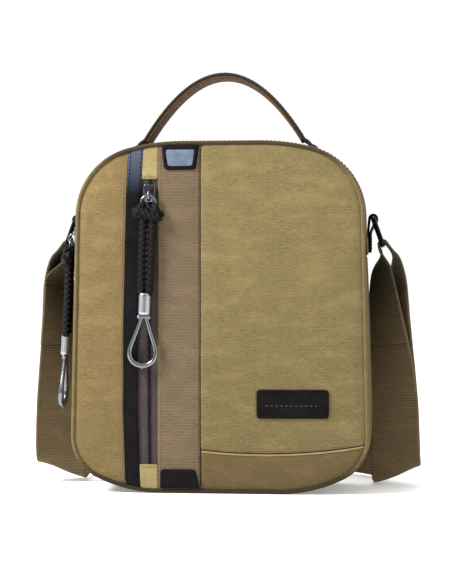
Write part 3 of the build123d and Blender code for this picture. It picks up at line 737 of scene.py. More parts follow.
def panel(
    name, loop, surface, mat, lift=0.0, roll=0.9, thick=1.2, shape=None, facing=-1, step=STEP, warp=sway
):
    """A flat piece cut to loop (x, z) and laid on surface(points), with turned edges."""
    loop = resample(loop, min(step, 2.0), True)
    if np.sum(loop[:, 0] * np.roll(loop[:, 1], -1) - np.roll(loop[:, 0], -1) * loop[:, 1]) < 0:
        loop = loop[::-1]
    t = tangents(loop, True)
    inward = np.stack([-t[:, 1], t[:, 0]], 1)
    extra = [loop + inward * d for d in ((roll * 0.3, roll * 0.75, roll * 1.5) if roll else ())]
    low, high = loop.min(0), loop.max(0)
    xs, zs = np.arange(low[0], high[0], step), np.arange(low[1], high[1], step)
    grid = np.array([(x + (k % 2) * step / 2, z) for k, z in enumerate(zs) for x in xs])
    cloud = np.vstack([*extra, grid])
    near = distance(cloud, loop)
    start = len(cloud) - len(grid)
    keep = np.ones(len(cloud), bool)
    keep[start:] = near[start:] > max(roll * 1.5, 0) + step * 0.5
    keep[:start] = near[:start] > roll * 0.28
    cloud = cloud[keep]
    count = len(loop)
    verts = [Vector(p) for p in np.vstack([loop, cloud])]
    edges = [(i, (i + 1) % count) for i in range(count)]
    flat, _, tris, *_ = geometry.delaunay_2d_cdt(verts, edges, [list(range(count))], 1, 1e-5)
    flat = np.array([tuple(p) for p in flat])
    rim = distance(flat, loop)
    out = np.full(len(flat), float(lift))
    if roll:
        bent = np.clip(1 - rim / roll, 0, 1)
        out -= roll * 0.85 * (1 - np.sqrt(np.maximum(1 - bent**2, 0)))
    if shape is not None:
        out += shape(flat, rim)
    placed = warp(flat) if warp else flat
    y = surface(placed) + facing * out
    verts = np.stack([placed[:, 0], y, placed[:, 1]], 1)
    uvs = flat.copy()
    border = [int(i) for i in np.argsort(rim)[: int(np.sum(rim < 1e-3))]]
    used = {}
    for tri in tris:
        for a, b in zip(tri, tri[1:] + tri[:1]):
            used[(a, b)] = used.get((a, b), 0) + 1
    skirt = [(a, b) for a, b in used if (b, a) not in used]
    back = {}
    verts, uvs = list(verts), list(uvs)
    for i in border:
        back[i] = len(verts)
        verts.append(verts[i] + np.array((0, -facing * thick, 0)))
        uvs.append(uvs[i] + np.array((0, thick)))
    faces = [tri[::-1] if facing > 0 else tri for tri in (list(f) for f in tris)]
    for a, b in skirt:
        if a in back and b in back:
            quad = [b, a, back[a], back[b]]
            faces.append(quad[::-1] if facing > 0 else quad)
    return mesh(name, np.array(verts), faces, mat, np.array(uvs))


def box_loop(x_low, x_high, z_low, z_high):
    return np.array([(x_low, z_low), (x_high, z_low), (x_high, z_high), (x_low, z_high)], float)


def rounded(loop, radii):
    """A polygon with each corner rounded."""
    loop, out = np.asarray(loop, float), []
    for i, r in enumerate(radii):
        p, before, after = loop[i], loop[i - 1], loop[(i + 1) % len(loop)]
        if r == 0:
            out.append(p)
            continue
        a, b = p + unit(before - p) * r, p + unit(after - p) * r
        for t in np.linspace(0, 1, 6):
            out.append((1 - t) ** 2 * a + 2 * t * (1 - t) * p + t**2 * b)
    return np.array(out)


def on_front(points, lift):
    """3-D points of a line drawn on the front panel."""
    points = resample(points, 1.0)
    placed = sway(points)
    return np.stack([placed[:, 0], front_y(placed) - lift, placed[:, 1]], 1)


def front_panel():
    edge = BOUNDARY
    left = cut(edge, high=STRIP_LEFT - 0.05)
    obj = panel("front_canvas_left_cloth", left, front_y, "canvas_left", 0, 0.7)
    on_bag(obj, "canvas_left", "front_canvas_left")
    strip = cut(edge, STRIP_LEFT, ZIP_LEFT - 0.1)
    obj = panel("front_leather_strip_skin", strip, front_y, "leather_strip", 0.35, 0.6, 2.0)
    on_bag(obj, "leather", "front_leather_strip")
    channel = cut(edge, ZIP_LEFT, ZIP_RIGHT - 0.1)
    for node, loop in (
        ("front_zip_top_tab", cut(channel, low=ZIP_HIGH, axis=1)),
        ("front_zip_bottom_tab", cut(channel, high=ZIP_LOW, axis=1)),
    ):
        on_bag(panel(node + "_cloth", loop, front_y, "canvas_tab", 0.1, 0.7, 2.2), "canvas", node)
    band = cut(edge, ZIP_RIGHT, BAND_RIGHT)
    obj = panel("front_band_webbing", band, front_y, "band_webbing", 0.15, 0.9, 2.2)
    on_bag(obj, "band_webbing", "front_webbing_band")
    right = clip(edge, lambda p: p[0] - BAND_RIGHT - 0.15)

    def bent(loop):
        """The straight cut near the foot, bent to the curved seam."""
        loop = resample(loop, 1.0, True)
        on = np.abs(loop[:, 1] - FOOT_CUT) < 0.02
        loop[on, 1] = seam_z(loop[on, 0])
        return loop

    upper = bent(cut(right, low=FOOT_CUT, axis=1))
    obj = panel("front_canvas_right_cloth", upper, front_y, "canvas", 0.35, 0.9, 2.0)
    on_bag(obj, "canvas", "front_canvas_right")
    lower = bent(cut(right, high=FOOT_CUT, axis=1)) - np.array((0, 0.35))
    obj = panel("front_canvas_lower_cloth", lower, front_y, "canvas_lower", -0.1, 0.7, 1.6)
    on_bag(obj, "canvas", "front_canvas_lower")


def emboss(points, rim):
    """A raised border with a groove inside it."""
    return 0.45 * np.exp(-(((rim - 1.5) / 0.9) ** 2)) - 0.25 * np.exp(-(((rim - 2.9) / 0.5) ** 2))


def front_trim():
    top = rounded([(-42.4, 255.6), (-39.9, 237.5), (-16.6, 237.5), (-14.6, 255.6)], (1, 3, 3, 1))
    low = rounded([(-42.9, 18), (-43.4, 3.6), (-14.0, 3.6), (-16.9, 18)], (3, 1, 1, 3))
    for node, loop in (("front_patch_top", top), ("front_patch_bottom", low)):
        obj = panel(node + "_skin", loop, front_y, "leather", 1.6, 0.7, 1.8, emboss, step=1.4)
        on_bag(obj, "leather", node)
    # A pale field on the top patch: painted reflection of the light.
    field = rounded([(-39.2, 252.6), (-37.4, 240.3), (-19.2, 240.3), (-17.6, 252.6)], (1, 2, 2, 1))
    on_bag(panel("front_patch_top_field", field, front_y, "leather_sheen", 1.75, 0.5, 0.6, step=1.4), "leather")
    label = rounded(box_loop(*LABEL), (2.6,) * 4)
    obj = panel("front_label_skin", label, front_y, "label", 1.7, 0.7, 1.9, emboss, step=1.4)
    on_bag(obj, "label", "front_label")
    inner = rounded(box_loop(29.6, 79.0, 57.4, 75.0), (2,) * 4)
    line = on_front(np.vstack([inner, inner[:1]]), 2.1)
    sew("label", "front_label_stitches", line, "stitch_black", 2.4, 1.7, 0.25)
    marks = [on_front([(x, 65.0), (x + 2.2, 65.0)], 1.9)[[0, -1]] for x in np.arange(34.5, 74.0, 3.6)]
    on_bag(beads("front_label_marks", marks, 0.5, "zip_tape"), "label")
    for name, loop in (("top", top), ("bottom", low)):
        centre = loop.mean(0)
        loop = centre + (loop - centre) * np.array((0.87, 0.78))
        line = on_front(np.vstack([loop, loop[:1]]), 1.9)
        sew("leather", f"front_patch_{name}_stitches", line, "stitch_black", 2.4, 1.7, 0.25)


def front_seams():
    """Lines of stitching, seam rolls and painted shade lines on the front panel."""
    for name, x, low, high, lift, mat in (
        ("strip_left", STRIP_LEFT + 1.5, 6, 252, 0.45, "stitch_black"),
        ("strip_right", ZIP_LEFT - 1.6, 5, 254, 0.45, "stitch_black"),
        ("band_left", ZIP_RIGHT + 1.8, 5, 254, 0.25, "stitch_tan"),
        ("band_right", BAND_RIGHT - 2.5, 5, 255, 0.25, "stitch_tan"),
        ("left_canvas", STRIP_LEFT - 2.0, 9, 248, 0.1, "stitch_tan"),
    ):
        sew("piping", f"front_stitches_{name}", on_front([(x, low), (x, high)], lift), mat)
    xs = np.linspace(BAND_RIGHT + 1, 106, 60)
    line = on_front(np.stack([xs, seam_z(xs) + 2.6], 1), 0.42)
    sew("piping", "front_stitches_seam", line, "stitch_tan")
    # The seam shadow and the band seam are dark lines of painted shade in the seams. The seam roll is a real rolled
    # edge in paler canvas, a painted highlight on the fold.
    for name, points, lift, radius, mat in (
        ("front_seam_shadow", np.stack([xs, seam_z(xs) + 0.4], 1), -0.1, 0.6, "stitch_dark"),
        ("front_seam_roll", np.stack([xs, seam_z(xs) - 0.9], 1), 0.1, 0.75, "canvas_tab"),
        ("front_band_seam", [(BAND_RIGHT + 0.05, 4), (BAND_RIGHT + 0.05, 255.2)], -0.1, 0.5, "stitch_dark"),
    ):
        on_bag(tube(name, on_front(points, lift), radius, mat, sides=8), "piping")
    for name, z in (("top", ZIP_HIGH + 1.8), ("bottom", ZIP_LOW - 1.8)):
        line = on_front([(ZIP_LEFT + 1, z), (ZIP_RIGHT - 1, z)], 0.3)
        sew("canvas", f"front_zip_tab_{name}_stitches", line, "stitch_tan", 2.6, 1.9)


def zip_teeth(name, line, across, outward, reach=1.55, pitch=1.25):
    """Two rows of coil teeth that mesh along a line."""
    line = resample(line, pitch)
    t = tangents(line)
    across, outward = np.broadcast_to(across, line.shape), np.broadcast_to(outward, line.shape)
    pairs = []
    for i, p in enumerate(line):
        side = 1 if i % 2 else -1
        top = p + outward[i] * 0.55
        pairs.append((top - across[i] * side * 0.35, top + across[i] * side * reach + t[i] * 0.25))
    return beads(name, pairs, 0.5, "coil", 6)


def front_zip():
    low, high = ZIP_LOW - 3, ZIP_HIGH + 3

    def tape_y(points):
        return front_y(points) + 1.3

    def ribs(points, _):
        return 0.25 * np.exp(-(((np.abs(points[:, 0] - ZIP_X) - 2.6) / 0.5) ** 2))

    for side, a, b, nodes in (
        ("left", ZIP_LEFT - 1.0, ZIP_X - 0.6, ["front_zip_tapes"]),
        ("right", ZIP_X + 0.6, ZIP_RIGHT + 1.0, []),
    ):
        loop = box_loop(a, b, low, high)
        tape = panel(f"front_zip_tape_{side}", loop, tape_y, "zip_tape", 0, 0.3, 0.8, ribs, step=min(STEP, 2.0))
        on_bag(tape, "zip_tape", *nodes)
    line = on_front([(ZIP_X, low + 2), (ZIP_X, high - 2)], -1.1)
    obj = zip_teeth("front_zip_teeth", line, np.array((1.0, 0, 0)), np.array((0, -1.0, 0)))
    on_bag(obj, "zip_coil", "front_zip_coil")


def back_panel():
    def lay(name, loop, mat, lift, roll, thick, shape, step):
        return panel(name, loop, back_y, mat, lift, roll, thick, shape, 1, step, None)

    def puff(_, rim):
        return 0.8 * (1 - np.exp(-rim / 18))

    cloth_step = STEP * 1.5
    obj = lay("back_canvas_cloth", BOUNDARY, "back_canvas", 0, 0.9, 1.4, None, cloth_step)
    on_bag(obj, "canvas", "back_canvas")
    edge = outline(PANEL_INSET + 0.6, 1.5)
    pocket = cut(edge, high=POCKET_TOP, axis=1)
    obj = lay("back_pocket_cloth", pocket, "back_canvas", 1.3, 0.9, 1.4, puff, cloth_step)
    on_bag(obj, "canvas", "back_slip_pocket")
    binding = cut(cut(edge, high=BINDING[1], axis=1), low=BINDING[0], axis=1)
    obj = lay("back_pocket_binding_skin", binding, "leather", 2.6, 1.0, 2.0, None, STEP)
    on_bag(obj, "leather", "back_pocket_binding")
    line = np.array([(x, 173.2) for x in np.linspace(-102, 102, 120)])
    points = np.stack([line[:, 0], back_y(line) + 2.75, line[:, 1]], 1)
    sew("leather", "back_binding_stitches", points, "stitch_black")


# ---------------------------------------------------------------- gusset, piping, top zip
def loop_part(inset, keep, step=2.5):
    """The stretch of outline where keep(z) holds, in order, as 3-D points in the plane y = 0."""
    loop = outline(inset, step)
    inside_part = np.array([keep(z) for _, z in loop])
    start = int(np.argmax(inside_part & ~np.roll(inside_part, 1)))
    loop, inside_part = np.roll(loop, -start, 0), np.roll(inside_part, -start)
    loop = loop[: int(np.argmin(inside_part)) if not inside_part.all() else len(loop)]
    return np.stack([loop[:, 0], np.zeros(len(loop)), loop[:, 1]], 1)


def gusset_profile(points, y_low, y_high, thick=1.5, swell=2.2, bead=0.7):
    """Section of a band between y_low and y_high. Positive b is outwards."""
    count = max(5, int((y_high - y_low) / 4))
    y = np.concatenate([[y_low, y_low + 0.3, y_low + 1.0], np.linspace(y_low + 2.4, y_high - 2.4, count)])
    y = np.concatenate([y, [y_high - 1.0, y_high - 0.3, y_high]])
    fall = np.zeros(len(y))
    fall[[0, -1]] = bead
    fall[[1, -2]] = bead * 0.45
    fall[[2, -3]] = bead * 0.1

    def shape(i, _):
        x, _, z = points[i]
        rise = np.clip((z - 12) / 50, 0, 1)
        wave = 0.35 * np.sin(z / 23 + y / 16) * np.clip((z - 40) / 60, 0, 1)
        full = swell * (1 - 0.7 * np.clip((z - 120) / 50, 0, 1))
        out = (full * (1 - (y / 38) ** 2) + wave) * rise - fall
        return np.concatenate([np.stack([y, out], 1), np.stack([y[::-1], out[::-1] - thick + fall[::-1]], 1)])

    return shape


def gusset():
    def build(name, keep, y_low, y_high, *nodes):
        points = loop_part(0.05, keep)
        profile = gusset_profile(points, y_low, y_high)
        obj = sweep(name, points, -across(points), lambda i, s: profile(i, s) * (-1, 1), "gusset_canvas")
        on_bag(obj, "gusset_canvas", *nodes)

    def top(z):
        return z > ZIP_END

    build("gusset_lower_cloth", lambda z: z < ZIP_END, -GUSSET_EDGE, GUSSET_EDGE, "gusset_lower")
    build("gusset_top_front_cloth", top, -GUSSET_EDGE, MAIN_ZIP_Y - ZIP_GAP, "gusset_top_front")
    build("gusset_top_back_cloth", top, MAIN_ZIP_Y + ZIP_GAP, GUSSET_EDGE, "gusset_top_back")
    points = loop_part(0.9, lambda z: z > ZIP_END - 4)
    edges = across(points)
    for side, low, high, nodes in (("front", -30.5, -22.7, ["main_zip_tapes"]), ("back", -21.3, -13.5, [])):
        shape = np.array([(-low, 0), (-low, 0.6), (-high, 0.6), (-high, 0)])
        on_bag(sweep(f"main_zip_tape_{side}", points, -edges, shape, "zip_tape"), "zip_tape", *nodes)
    outward = np.cross(tangents(points), -edges)
    line = points + np.array((0, MAIN_ZIP_Y, 0)) + outward * 0.3
    fine = resample(np.hstack([line, outward]), 1.25)
    obj = zip_teeth("main_zip_teeth", fine[:, :3], np.array(UP_Y), unit(fine[:, 3:]))
    on_bag(obj, "zip_coil", "main_zip_coil")
    x = half_width(182) + 0.2
    for s, side in SIDES:
        path = np.array([(s * (x + 0.6), 0, 188), (s * (x + 0.85), 0, 182), (s * (x + 1.0), 0, 175.5)])
        path = path + (0, MAIN_ZIP_Y, 0)
        profile = flat_profile(13.5, 1.4, 0.2, 5)
        obj = sweep(f"main_zip_end_{side}", path, across(path), profile, "gusset_canvas")
        on_bag(obj, "gusset_canvas", *(["main_zip_end_covers"] if s > 0 else []))
    for side, y in (("front", MAIN_ZIP_Y - 7.4), ("back", MAIN_ZIP_Y + 7.4)):
        path = loop_part(-0.8, lambda z: z > ZIP_END + 4) + np.array((0, y, 0))
        sew("piping", f"main_zip_stitches_{side}", path, "stitch_tan")


def piping():
    loop = outline(1.5, 2.2)
    for name, y in (("front_piping", -38.1), ("back_piping", 38.1)):
        points = np.stack([loop[:, 0], np.full(len(loop), y), np.maximum(loop[:, 1], 1.6)], 1)
        on_bag(tube(name + "_cloth", points, 1.5, "piping", True, 12), "piping", name)


# ---------------------------------------------------------------- carry handle
def handle_curve(depth):
    """Middle line of a handle layer from the left foot to the right one, depth below the outer face."""
    half = []
    for x in np.linspace(0, 61.5, 30):
        z = HANDLE_TOP - HANDLE_RISE * (x / HANDLE_SPAN) ** 2
        slope = math.atan(2 * HANDLE_RISE * x / HANDLE_SPAN**2)
        half.append((x - depth * math.sin(slope), z - depth * math.cos(slope)))
    if depth < 2:
        half += [(63.6, 261.6), (66.2, 258.6), (69.5, 257.2)]
        half += foot_run(-1.3 + depth * 0.2, 71, 80.5, 1)
    half = np.array(half)
    line = np.vstack([(half * (-1, 1))[::-1], half[1:]])
    line = resample(line, 1.5)
    return np.stack([line[:, 0], np.full(len(line), HANDLE_Y), line[:, 1]], 1)


def foot_run(inset, low, high, side):
    """Points of the outline's top between two distances from the middle, from left to right."""
    run = [tuple(p) for p in outline(inset, 1.0) if low < side * p[0] < high and p[1] > 200]
    return sorted(run, key=lambda p: p[0])


def handle():
    outer, inner = handle_curve(1.0), handle_curve(3.0)
    web = sweep("handle_web", outer, across(outer), flat_profile(25, 2.0, 0.3, 9), "handle_webbing")
    lining = sweep("handle_inner", inner, across(inner), flat_profile(24, 1.6, 0.2, 9), "handle_lining")
    pieces = [
        (web, "handle_webbing", ("handle_webbing", "handle_feet")),
        (lining, "handle_lining", ("handle_lining",)),
    ]
    path = outer[np.abs(outer[:, 0]) < 60]
    normal = np.cross(tangents(path), across(path))
    if normal[len(normal) // 2][2] < 0:
        normal = -normal
    for side, name in ((-1, "front"), (1, "back")):
        line = path + np.array((0, side * 10.6, 0)) + normal * 1.05
        pieces.append((stitches(f"handle_stitches_{name}", line, "stitch_dark"), "handle_webbing", ()))
    for obj, slot, nodes in pieces:
        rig.blend(obj, "bag", "handle", (0, 0.012, 0.256), (0, 0.012, 0.268))
        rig.slot(obj, slot)
        if nodes:
            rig.replaces(obj, *nodes)
    for side, name in SIDES:
        run = foot_run(-2.4, 71.5, 79.5, side)
        line = [(x, 2.5, z) for x, z in run] + [(x, 21.5, z) for x, z in run[::-1]]
        line.append(line[0])
        sew("handle_webbing", f"handle_foot_stitches_{name}", np.array(line), "stitch_dark", 2.6, 1.9)


# ---------------------------------------------------------------- zip pulls
def transform(points, origin, lean_out, sideways, turn):
    """From pull coordinates (bail at 0, face towards +Y, hanging down -Z) to the row frame."""
    points = np.asarray(points, float)
    a, b, c = (math.radians(v) for v in (-lean_out, sideways, turn))
    rx = np.array([[1, 0, 0], [0, math.cos(a), -math.sin(a)], [0, math.sin(a), math.cos(a)]])
    ry = np.array([[math.cos(b), 0, math.sin(b)], [0, 1, 0], [-math.sin(b), 0, math.cos(b)]])
    rz = np.array([[math.cos(c), -math.sin(c), 0], [math.sin(c), math.cos(c), 0], [0, 0, 1]])
    return points @ (rz @ rx @ ry).T + np.array(origin)


def extruded(name, loop, y_low, y_high, bevel, mat, put):
    """A plate cut to loop (x, z), with bevelled edges."""
    loop = np.array(loop, float)
    count = len(loop)
    verts = [(x, y, z) for y in (y_low, y_high) for x, z in loop]
    faces = [tuple(range(count)), tuple(range(2 * count - 1, count - 1, -1))]
    faces += [(i, i + count, (i + 1) % count + count, (i + 1) % count) for i in range(count)]
    obj = mesh(name, put(verts), faces, mat)
    mod = obj.modifiers.new("bevel", "BEVEL")
    mod.width, mod.segments, mod.limit_method = bevel * 0.001, 3, "ANGLE"
    bpy.context.view_layer.objects.active = obj
    bpy.ops.object.modifier_apply(modifier=mod.name)
    return obj


KNOT_Z, FERRULE_TOP, LOOP_TOP = -12.2, -71.85, -87.5  # in pull coordinates


def pull(name, body, slider_body, origin, lean, turn):
    out, sideways = lean

    def put(points):
        return transform(points, origin, out, sideways, turn)

    def put_slider(points):
        return transform(points, origin, 0, 0, turn)

    def skin(part, path, shape, mat, slot, *nodes, closed=False):
        obj = sweep(f"{name}_{part}", path, side_edges(path, closed), shape, mat, closed)
        return place(obj, body, slot, *nodes)

    corners = [(-3.1, -4.6), (3.1, -4.6), (4.5, 3.0), (4.2, 8.4), (-4.2, 8.4), (-4.5, 3.0)]
    shield = rounded(corners, (1.6,) * 6)
    plate = extruded(f"{name}_slider_plate", shield, 2.7, 4.2, 0.45, "silver", put_slider)
    place(plate, slider_body, "silver_metal", f"{name}_slider")
    base = extruded(f"{name}_slider_base", shield * 0.96, 4.2, 5.6, 0.4, "silver", put_slider)
    place(base, slider_body, "silver_metal")
    bend = [(0, 1.2 - 3.2 * math.cos(t), 3.4 * math.sin(t)) for t in np.linspace(-2.0, 2.0, 25)]
    place(tube(f"{name}_bail", put_slider(bend), 0.85, "silver", sides=10), slider_body, "silver_metal")

    cords = []
    for side, label in SIDES:
        line = [(side * 2.6, 0.3, KNOT_Z + 3.5), (side * 3.0, 0, KNOT_Z - 2), (side * 3.3, -0.2, KNOT_Z - 9)]
        line += [(side * 3.25, 0, -45), (side * 3.0, 0.1, FERRULE_TOP + 6), (side * 2.3, 0, FERRULE_TOP - 1.5)]
        path = put(resample(smooth_line(line), 0.55 if not QUICK else 1.2))
        nodes = [f"{name}_pull_cord"] if side < 0 else []
        cords.append((skin(f"cord_{label}", path, braided(2.95), "cord", "cord", *nodes), path))
    wrap = []
    for t in np.linspace(0, 2 * math.pi, 60)[:-1]:
        z = KNOT_Z - 1.4 - 1.0 * math.cos(t) + 1.2 * math.sin(2 * t)
        wrap.append((8.3 * math.cos(t), 1.3 * math.sin(t) - 1.0, z))
    path = put(resample(wrap, 0.6, True))
    fittings = [skin("knot_wrap", path, braided(3.8), "cord", "cord", closed=True)]
    for side, label in SIDES:
        arch = [(side * 5.6, -2.0, KNOT_Z - 1.5), (side * 5.9, -2.6, KNOT_Z + 2.6)]
        arch += [(side * 4.6, -0.6, KNOT_Z + 4.7), (side * 3.6, 1.8, KNOT_Z + 2.8), (side * 3.2, 2.2, KNOT_Z - 1)]
        path = put(resample(smooth_line(arch), 0.6))
        fittings.append(skin(f"knot_ear_{label}", path, braided(2.7), "cord", "cord"))

    line = np.array([(0, 0, FERRULE_TOP + 0.4 - 15.9 * t) for t in np.linspace(0, 1, 20)])
    radii = [4.0, 4.5] + [4.65] * 16 + [4.5, 4.0]
    edges = transform(across(line, (1.0, 0, 0)), (0, 0, 0), out, sideways, turn)
    # The ferrule takes the paler silver: painted highlight.
    ferrule = sweep(
        f"{name}_ferrule", put(line), edges, lambda i, _: circle(radii[i], 28) * (1.0, 0.8), "silver_light"
    )
    place(ferrule, body, "silver_metal", f"{name}_pull_ferrule")
    tear = [(1.6, 0, 0.6), (2.2, 0, -3.0), (5.0, 0, -12.0), (8.7, 0, -22.5), (9.7, 0, -28.0), (8.4, 0, -32.8)]
    tear += [(4.8, 0, -36.0), (0, 0, -37.2)]
    tear += [(-x, y, z) for x, y, z in tear[-2::-1]]
    path = put(resample(smooth_line(tear), 0.8) + (0, 0, LOOP_TOP))
    thick = [1.5 + 0.6 * math.sin(math.pi * k / (len(path) - 1)) ** 3 for k in range(len(path))]
    nodes = [f"{name}_pull_loop"]
    wire = skin("wire_loop", path, lambda i, _: circle(thick[i], 16), "silver", "silver_metal", *nodes)
    path = put([(x, 0, LOOP_TOP - 1.2 - 0.02 * x * x) for x in np.linspace(-5.2, 5.2, 15)])
    swell = [1.1, 1.8, 2.1, 1.9, 1.6] + [1.5] * 5 + [1.6, 1.9, 2.1, 1.8, 1.1]
    collar = skin("loop_collar", path, lambda i, _: circle(swell[i], 14), "silver", "silver_metal")
    path = put([(0, 0, LOOP_TOP - 37.6 - t) for t in np.linspace(0, 2.4, 6)])
    taper = (1.5, 1.55, 1.5, 1.3, 0.9, 0.3)
    tip = skin("loop_tip", path, lambda i, _: circle(taper[i], 12), "silver", "silver_metal")
    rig.slot(frame["nodes"][f"{name}_pull_ring"], "silver_metal")
    for obj, path in cords:
        with_pieces = [ferrule, wire, collar, tip, *fittings] if obj is cords[0][0] else [ferrule]
        long = line_length(path) * 0.001
        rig.cord(obj, path[0] * 0.001, long, 0.0056, "fitting", "medium", "hanging", path * 0.001, with_pieces)


def smooth_line(points, steps=8):
    """A line through the points, filled in with a Catmull-Rom spline."""
    p = np.asarray(points, float)
    p = np.vstack([2 * p[0] - p[1], p, 2 * p[-1] - p[-2]])
    out = []
    for i in range(1, len(p) - 2):
        for k in range(steps):
            t = k / steps
            a, b, c, d = p[i - 1 : i + 3]
            cubic = (3 * b - a - 3 * c + d) * t**3
            out.append(0.5 * (2 * b + (c - a) * t + (2 * a - 5 * b + 4 * c - d) * t * t + cubic))
    out.append(p[-2])
    return np.array(out)


def pulls():
    pull("front", "front_pull", "front_zip", (ZIP_X, -45.5, 218.5), (0.0, 2.2), 0)
    side_x = -half_width(188.0) - 0.5 - 5.2
    pull("main", "main_pull", "main_zip", (side_x, MAIN_ZIP_Y, 188.0), (3.0, 0.0), -90)


# ---------------------------------------------------------------- rings and strap
def ring_tabs():
    """Leather loops round the top bars of the strap rings."""
    bar_x, bar_z = PIVOT
    path = [(108.5, 178.0), (108.5, 190.0), (108.9, 197.5)]
    turn = np.linspace(math.pi * 0.95, -0.6, 12)
    path += [(bar_x + 2.95 * math.cos(t), bar_z + 2.95 * math.sin(t)) for t in turn]
    path += [(112.2, 197.0), (110.5, 192.5), (110.3, 186.0), (110.3, 178.0)]
    path = resample(smooth_line(path, 5), 1.0)
    for side, name in SIDES:
        points = np.stack([side * path[:, 0], np.full(len(path), STRAP_Y), path[:, 1]], 1)
        profile = flat_profile(34, 1.5, 0.1, 9)
        obj = sweep(f"ring_tab_{name}_skin", points, across(points, (0, side, 0)), profile, "leather")
        on_bag(obj, "leather", f"ring_tab_{name}")
        x, front, back = side * 111.15, STRAP_Y - 14, STRAP_Y + 14
        line = [(x, front, 180), (x, back, 180), (x, back, 192), (x, front, 192), (x, front, 180)]
        sew("leather", f"ring_tab_{name}_stitches", line, "stitch_black", 2.6, 1.9)


# Strap stations: a point on its middle line, then the direction across it
LEG = [
    (126.4, 13.5, 179.3, 0, -1, 0),
    (129.4, 13.5, 173.8, 0.10, -0.99, 0),
    (130.3, 13.6, 165.0, 0.24, -0.97, 0),
    (129.8, 13.9, 155.0, 0.40, -0.92, 0),
    (128.4, 14.6, 142.0, 0.55, -0.84, 0),
    (126.8, 15.4, 127.0, 0.70, -0.71, 0),
    (126.2, 16.2, 108.0, 0.83, -0.56, 0),
    (127.2, 17.2, 86.0, 0.90, -0.44, 0),
    (128.8, 18.0, 60.0, 0.93, -0.36, 0),
    (129.6, 19.0, 36.0, 0.94, -0.34, 0.06),
    (129.6, 21.0, 22.0, 0.93, -0.28, 0.22),
    (129.2, 26.5, 14.2, 0.91, -0.18, 0.36),
    (128.0, 35.0, 12.6, 0.88, -0.05, 0.47),
    (125.6, 46.0, 17.0, 0.68, 0, 0.73),
    (122.2, 57.0, 20.4, 0.36, 0, 0.93),
    (116.6, 70.0, 20.8, 0.10, 0, 0.99),
    (106.0, 87.0, 21.0, 0, 0, 1),
    (90.0, 100.0, 21.6, 0, 0, 1),
    (73.0, 106.6, 22.0, 0, 0, 1),
    (58.0, 108.0, 22.2, 0, 0, 1),
]
RETURN = [
    (118.6, 13.4, 176.3, 0, -1, 0),
    (118.9, 13.2, 168.0, 0.28, -0.96, 0),
    (118.8, 12.8, 160.0, 0.42, -0.91, 0),
    (119.8, 12.2, 147.0, 0.54, -0.84, 0),
    (121.8, 11.6, 129.0, 0.65, -0.76, 0),
    (124.0, 11.4, 112.0, 0.74, -0.67, 0),
    (126.4, 11.8, 90.0, 0.85, -0.53, 0),
    (128.4, 13.2, 68.0, 0.92, -0.39, 0),
    (128.7, 15.6, 50.0, 0.94, -0.34, 0.02),
    (128.7, 16.6, 36.4, 0.94, -0.34, 0.04),
]


def over_bar():
    """Where the strap goes round the ring's bottom bar, from inside to outside."""
    r = 1.8 + 0.2 + STRAP_THICK / 2
    return [(BAR[0] + r * math.cos(t), STRAP_Y, BAR[1] + r * math.sin(t), 0, -1, 0) for t in BAR_TURN]


def stations(rows, step=2.5):
    """Stations filled in along a spline: points and edge directions."""
    table = smooth_line(rows, 10)
    gaps = np.linalg.norm(np.diff(table[:, :3], axis=0), axis=1)
    at = np.concatenate([[0], np.cumsum(gaps)])
    even = np.linspace(0, at[-1], max(3, int(at[-1] / step)))
    table = np.stack([np.interp(even, at, table[:, k]) for k in range(6)], 1)
    return table[:, :3], unit(table[:, 3:])


def lifted(points, edges, lift):
    along = tangents(points)
    edges = unit(edges - along * np.sum(edges * along, 1, keepdims=True))
    return points + np.cross(along, edges) * lift


def strap_piece(name, points, edges, body=None):
    """Strap webbing along stations, sagging a little where it turns over near the floor."""
    sag = 3.2 * np.exp(-(((points[:, 2] - 11) / 9) ** 2)) * (points[:, 1] < 60)
    base = flat_profile(STRAP_WIDTH, STRAP_THICK, 0.35, 15)

    def shape(i, _):
        cup = sag[i] * (1 - (base[:, 0] / STRAP_WIDTH * 2) ** 2)
        return base + np.stack([np.zeros(len(base)), cup], 1)

    obj = sweep(name, points, edges, shape, "strap_webbing")
    if body:
        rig.ride(obj, body)
    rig.slot(obj, "strap_webbing")
    return obj


def mirrored(points, edges):
    return points * (-1, 1, 1), edges * (-1, 1, 1)


def declare(obj, points, held="hung"):
    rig.sheet(obj, (STRAP_WIDTH * 0.001, line_length(points) * 0.001), held)


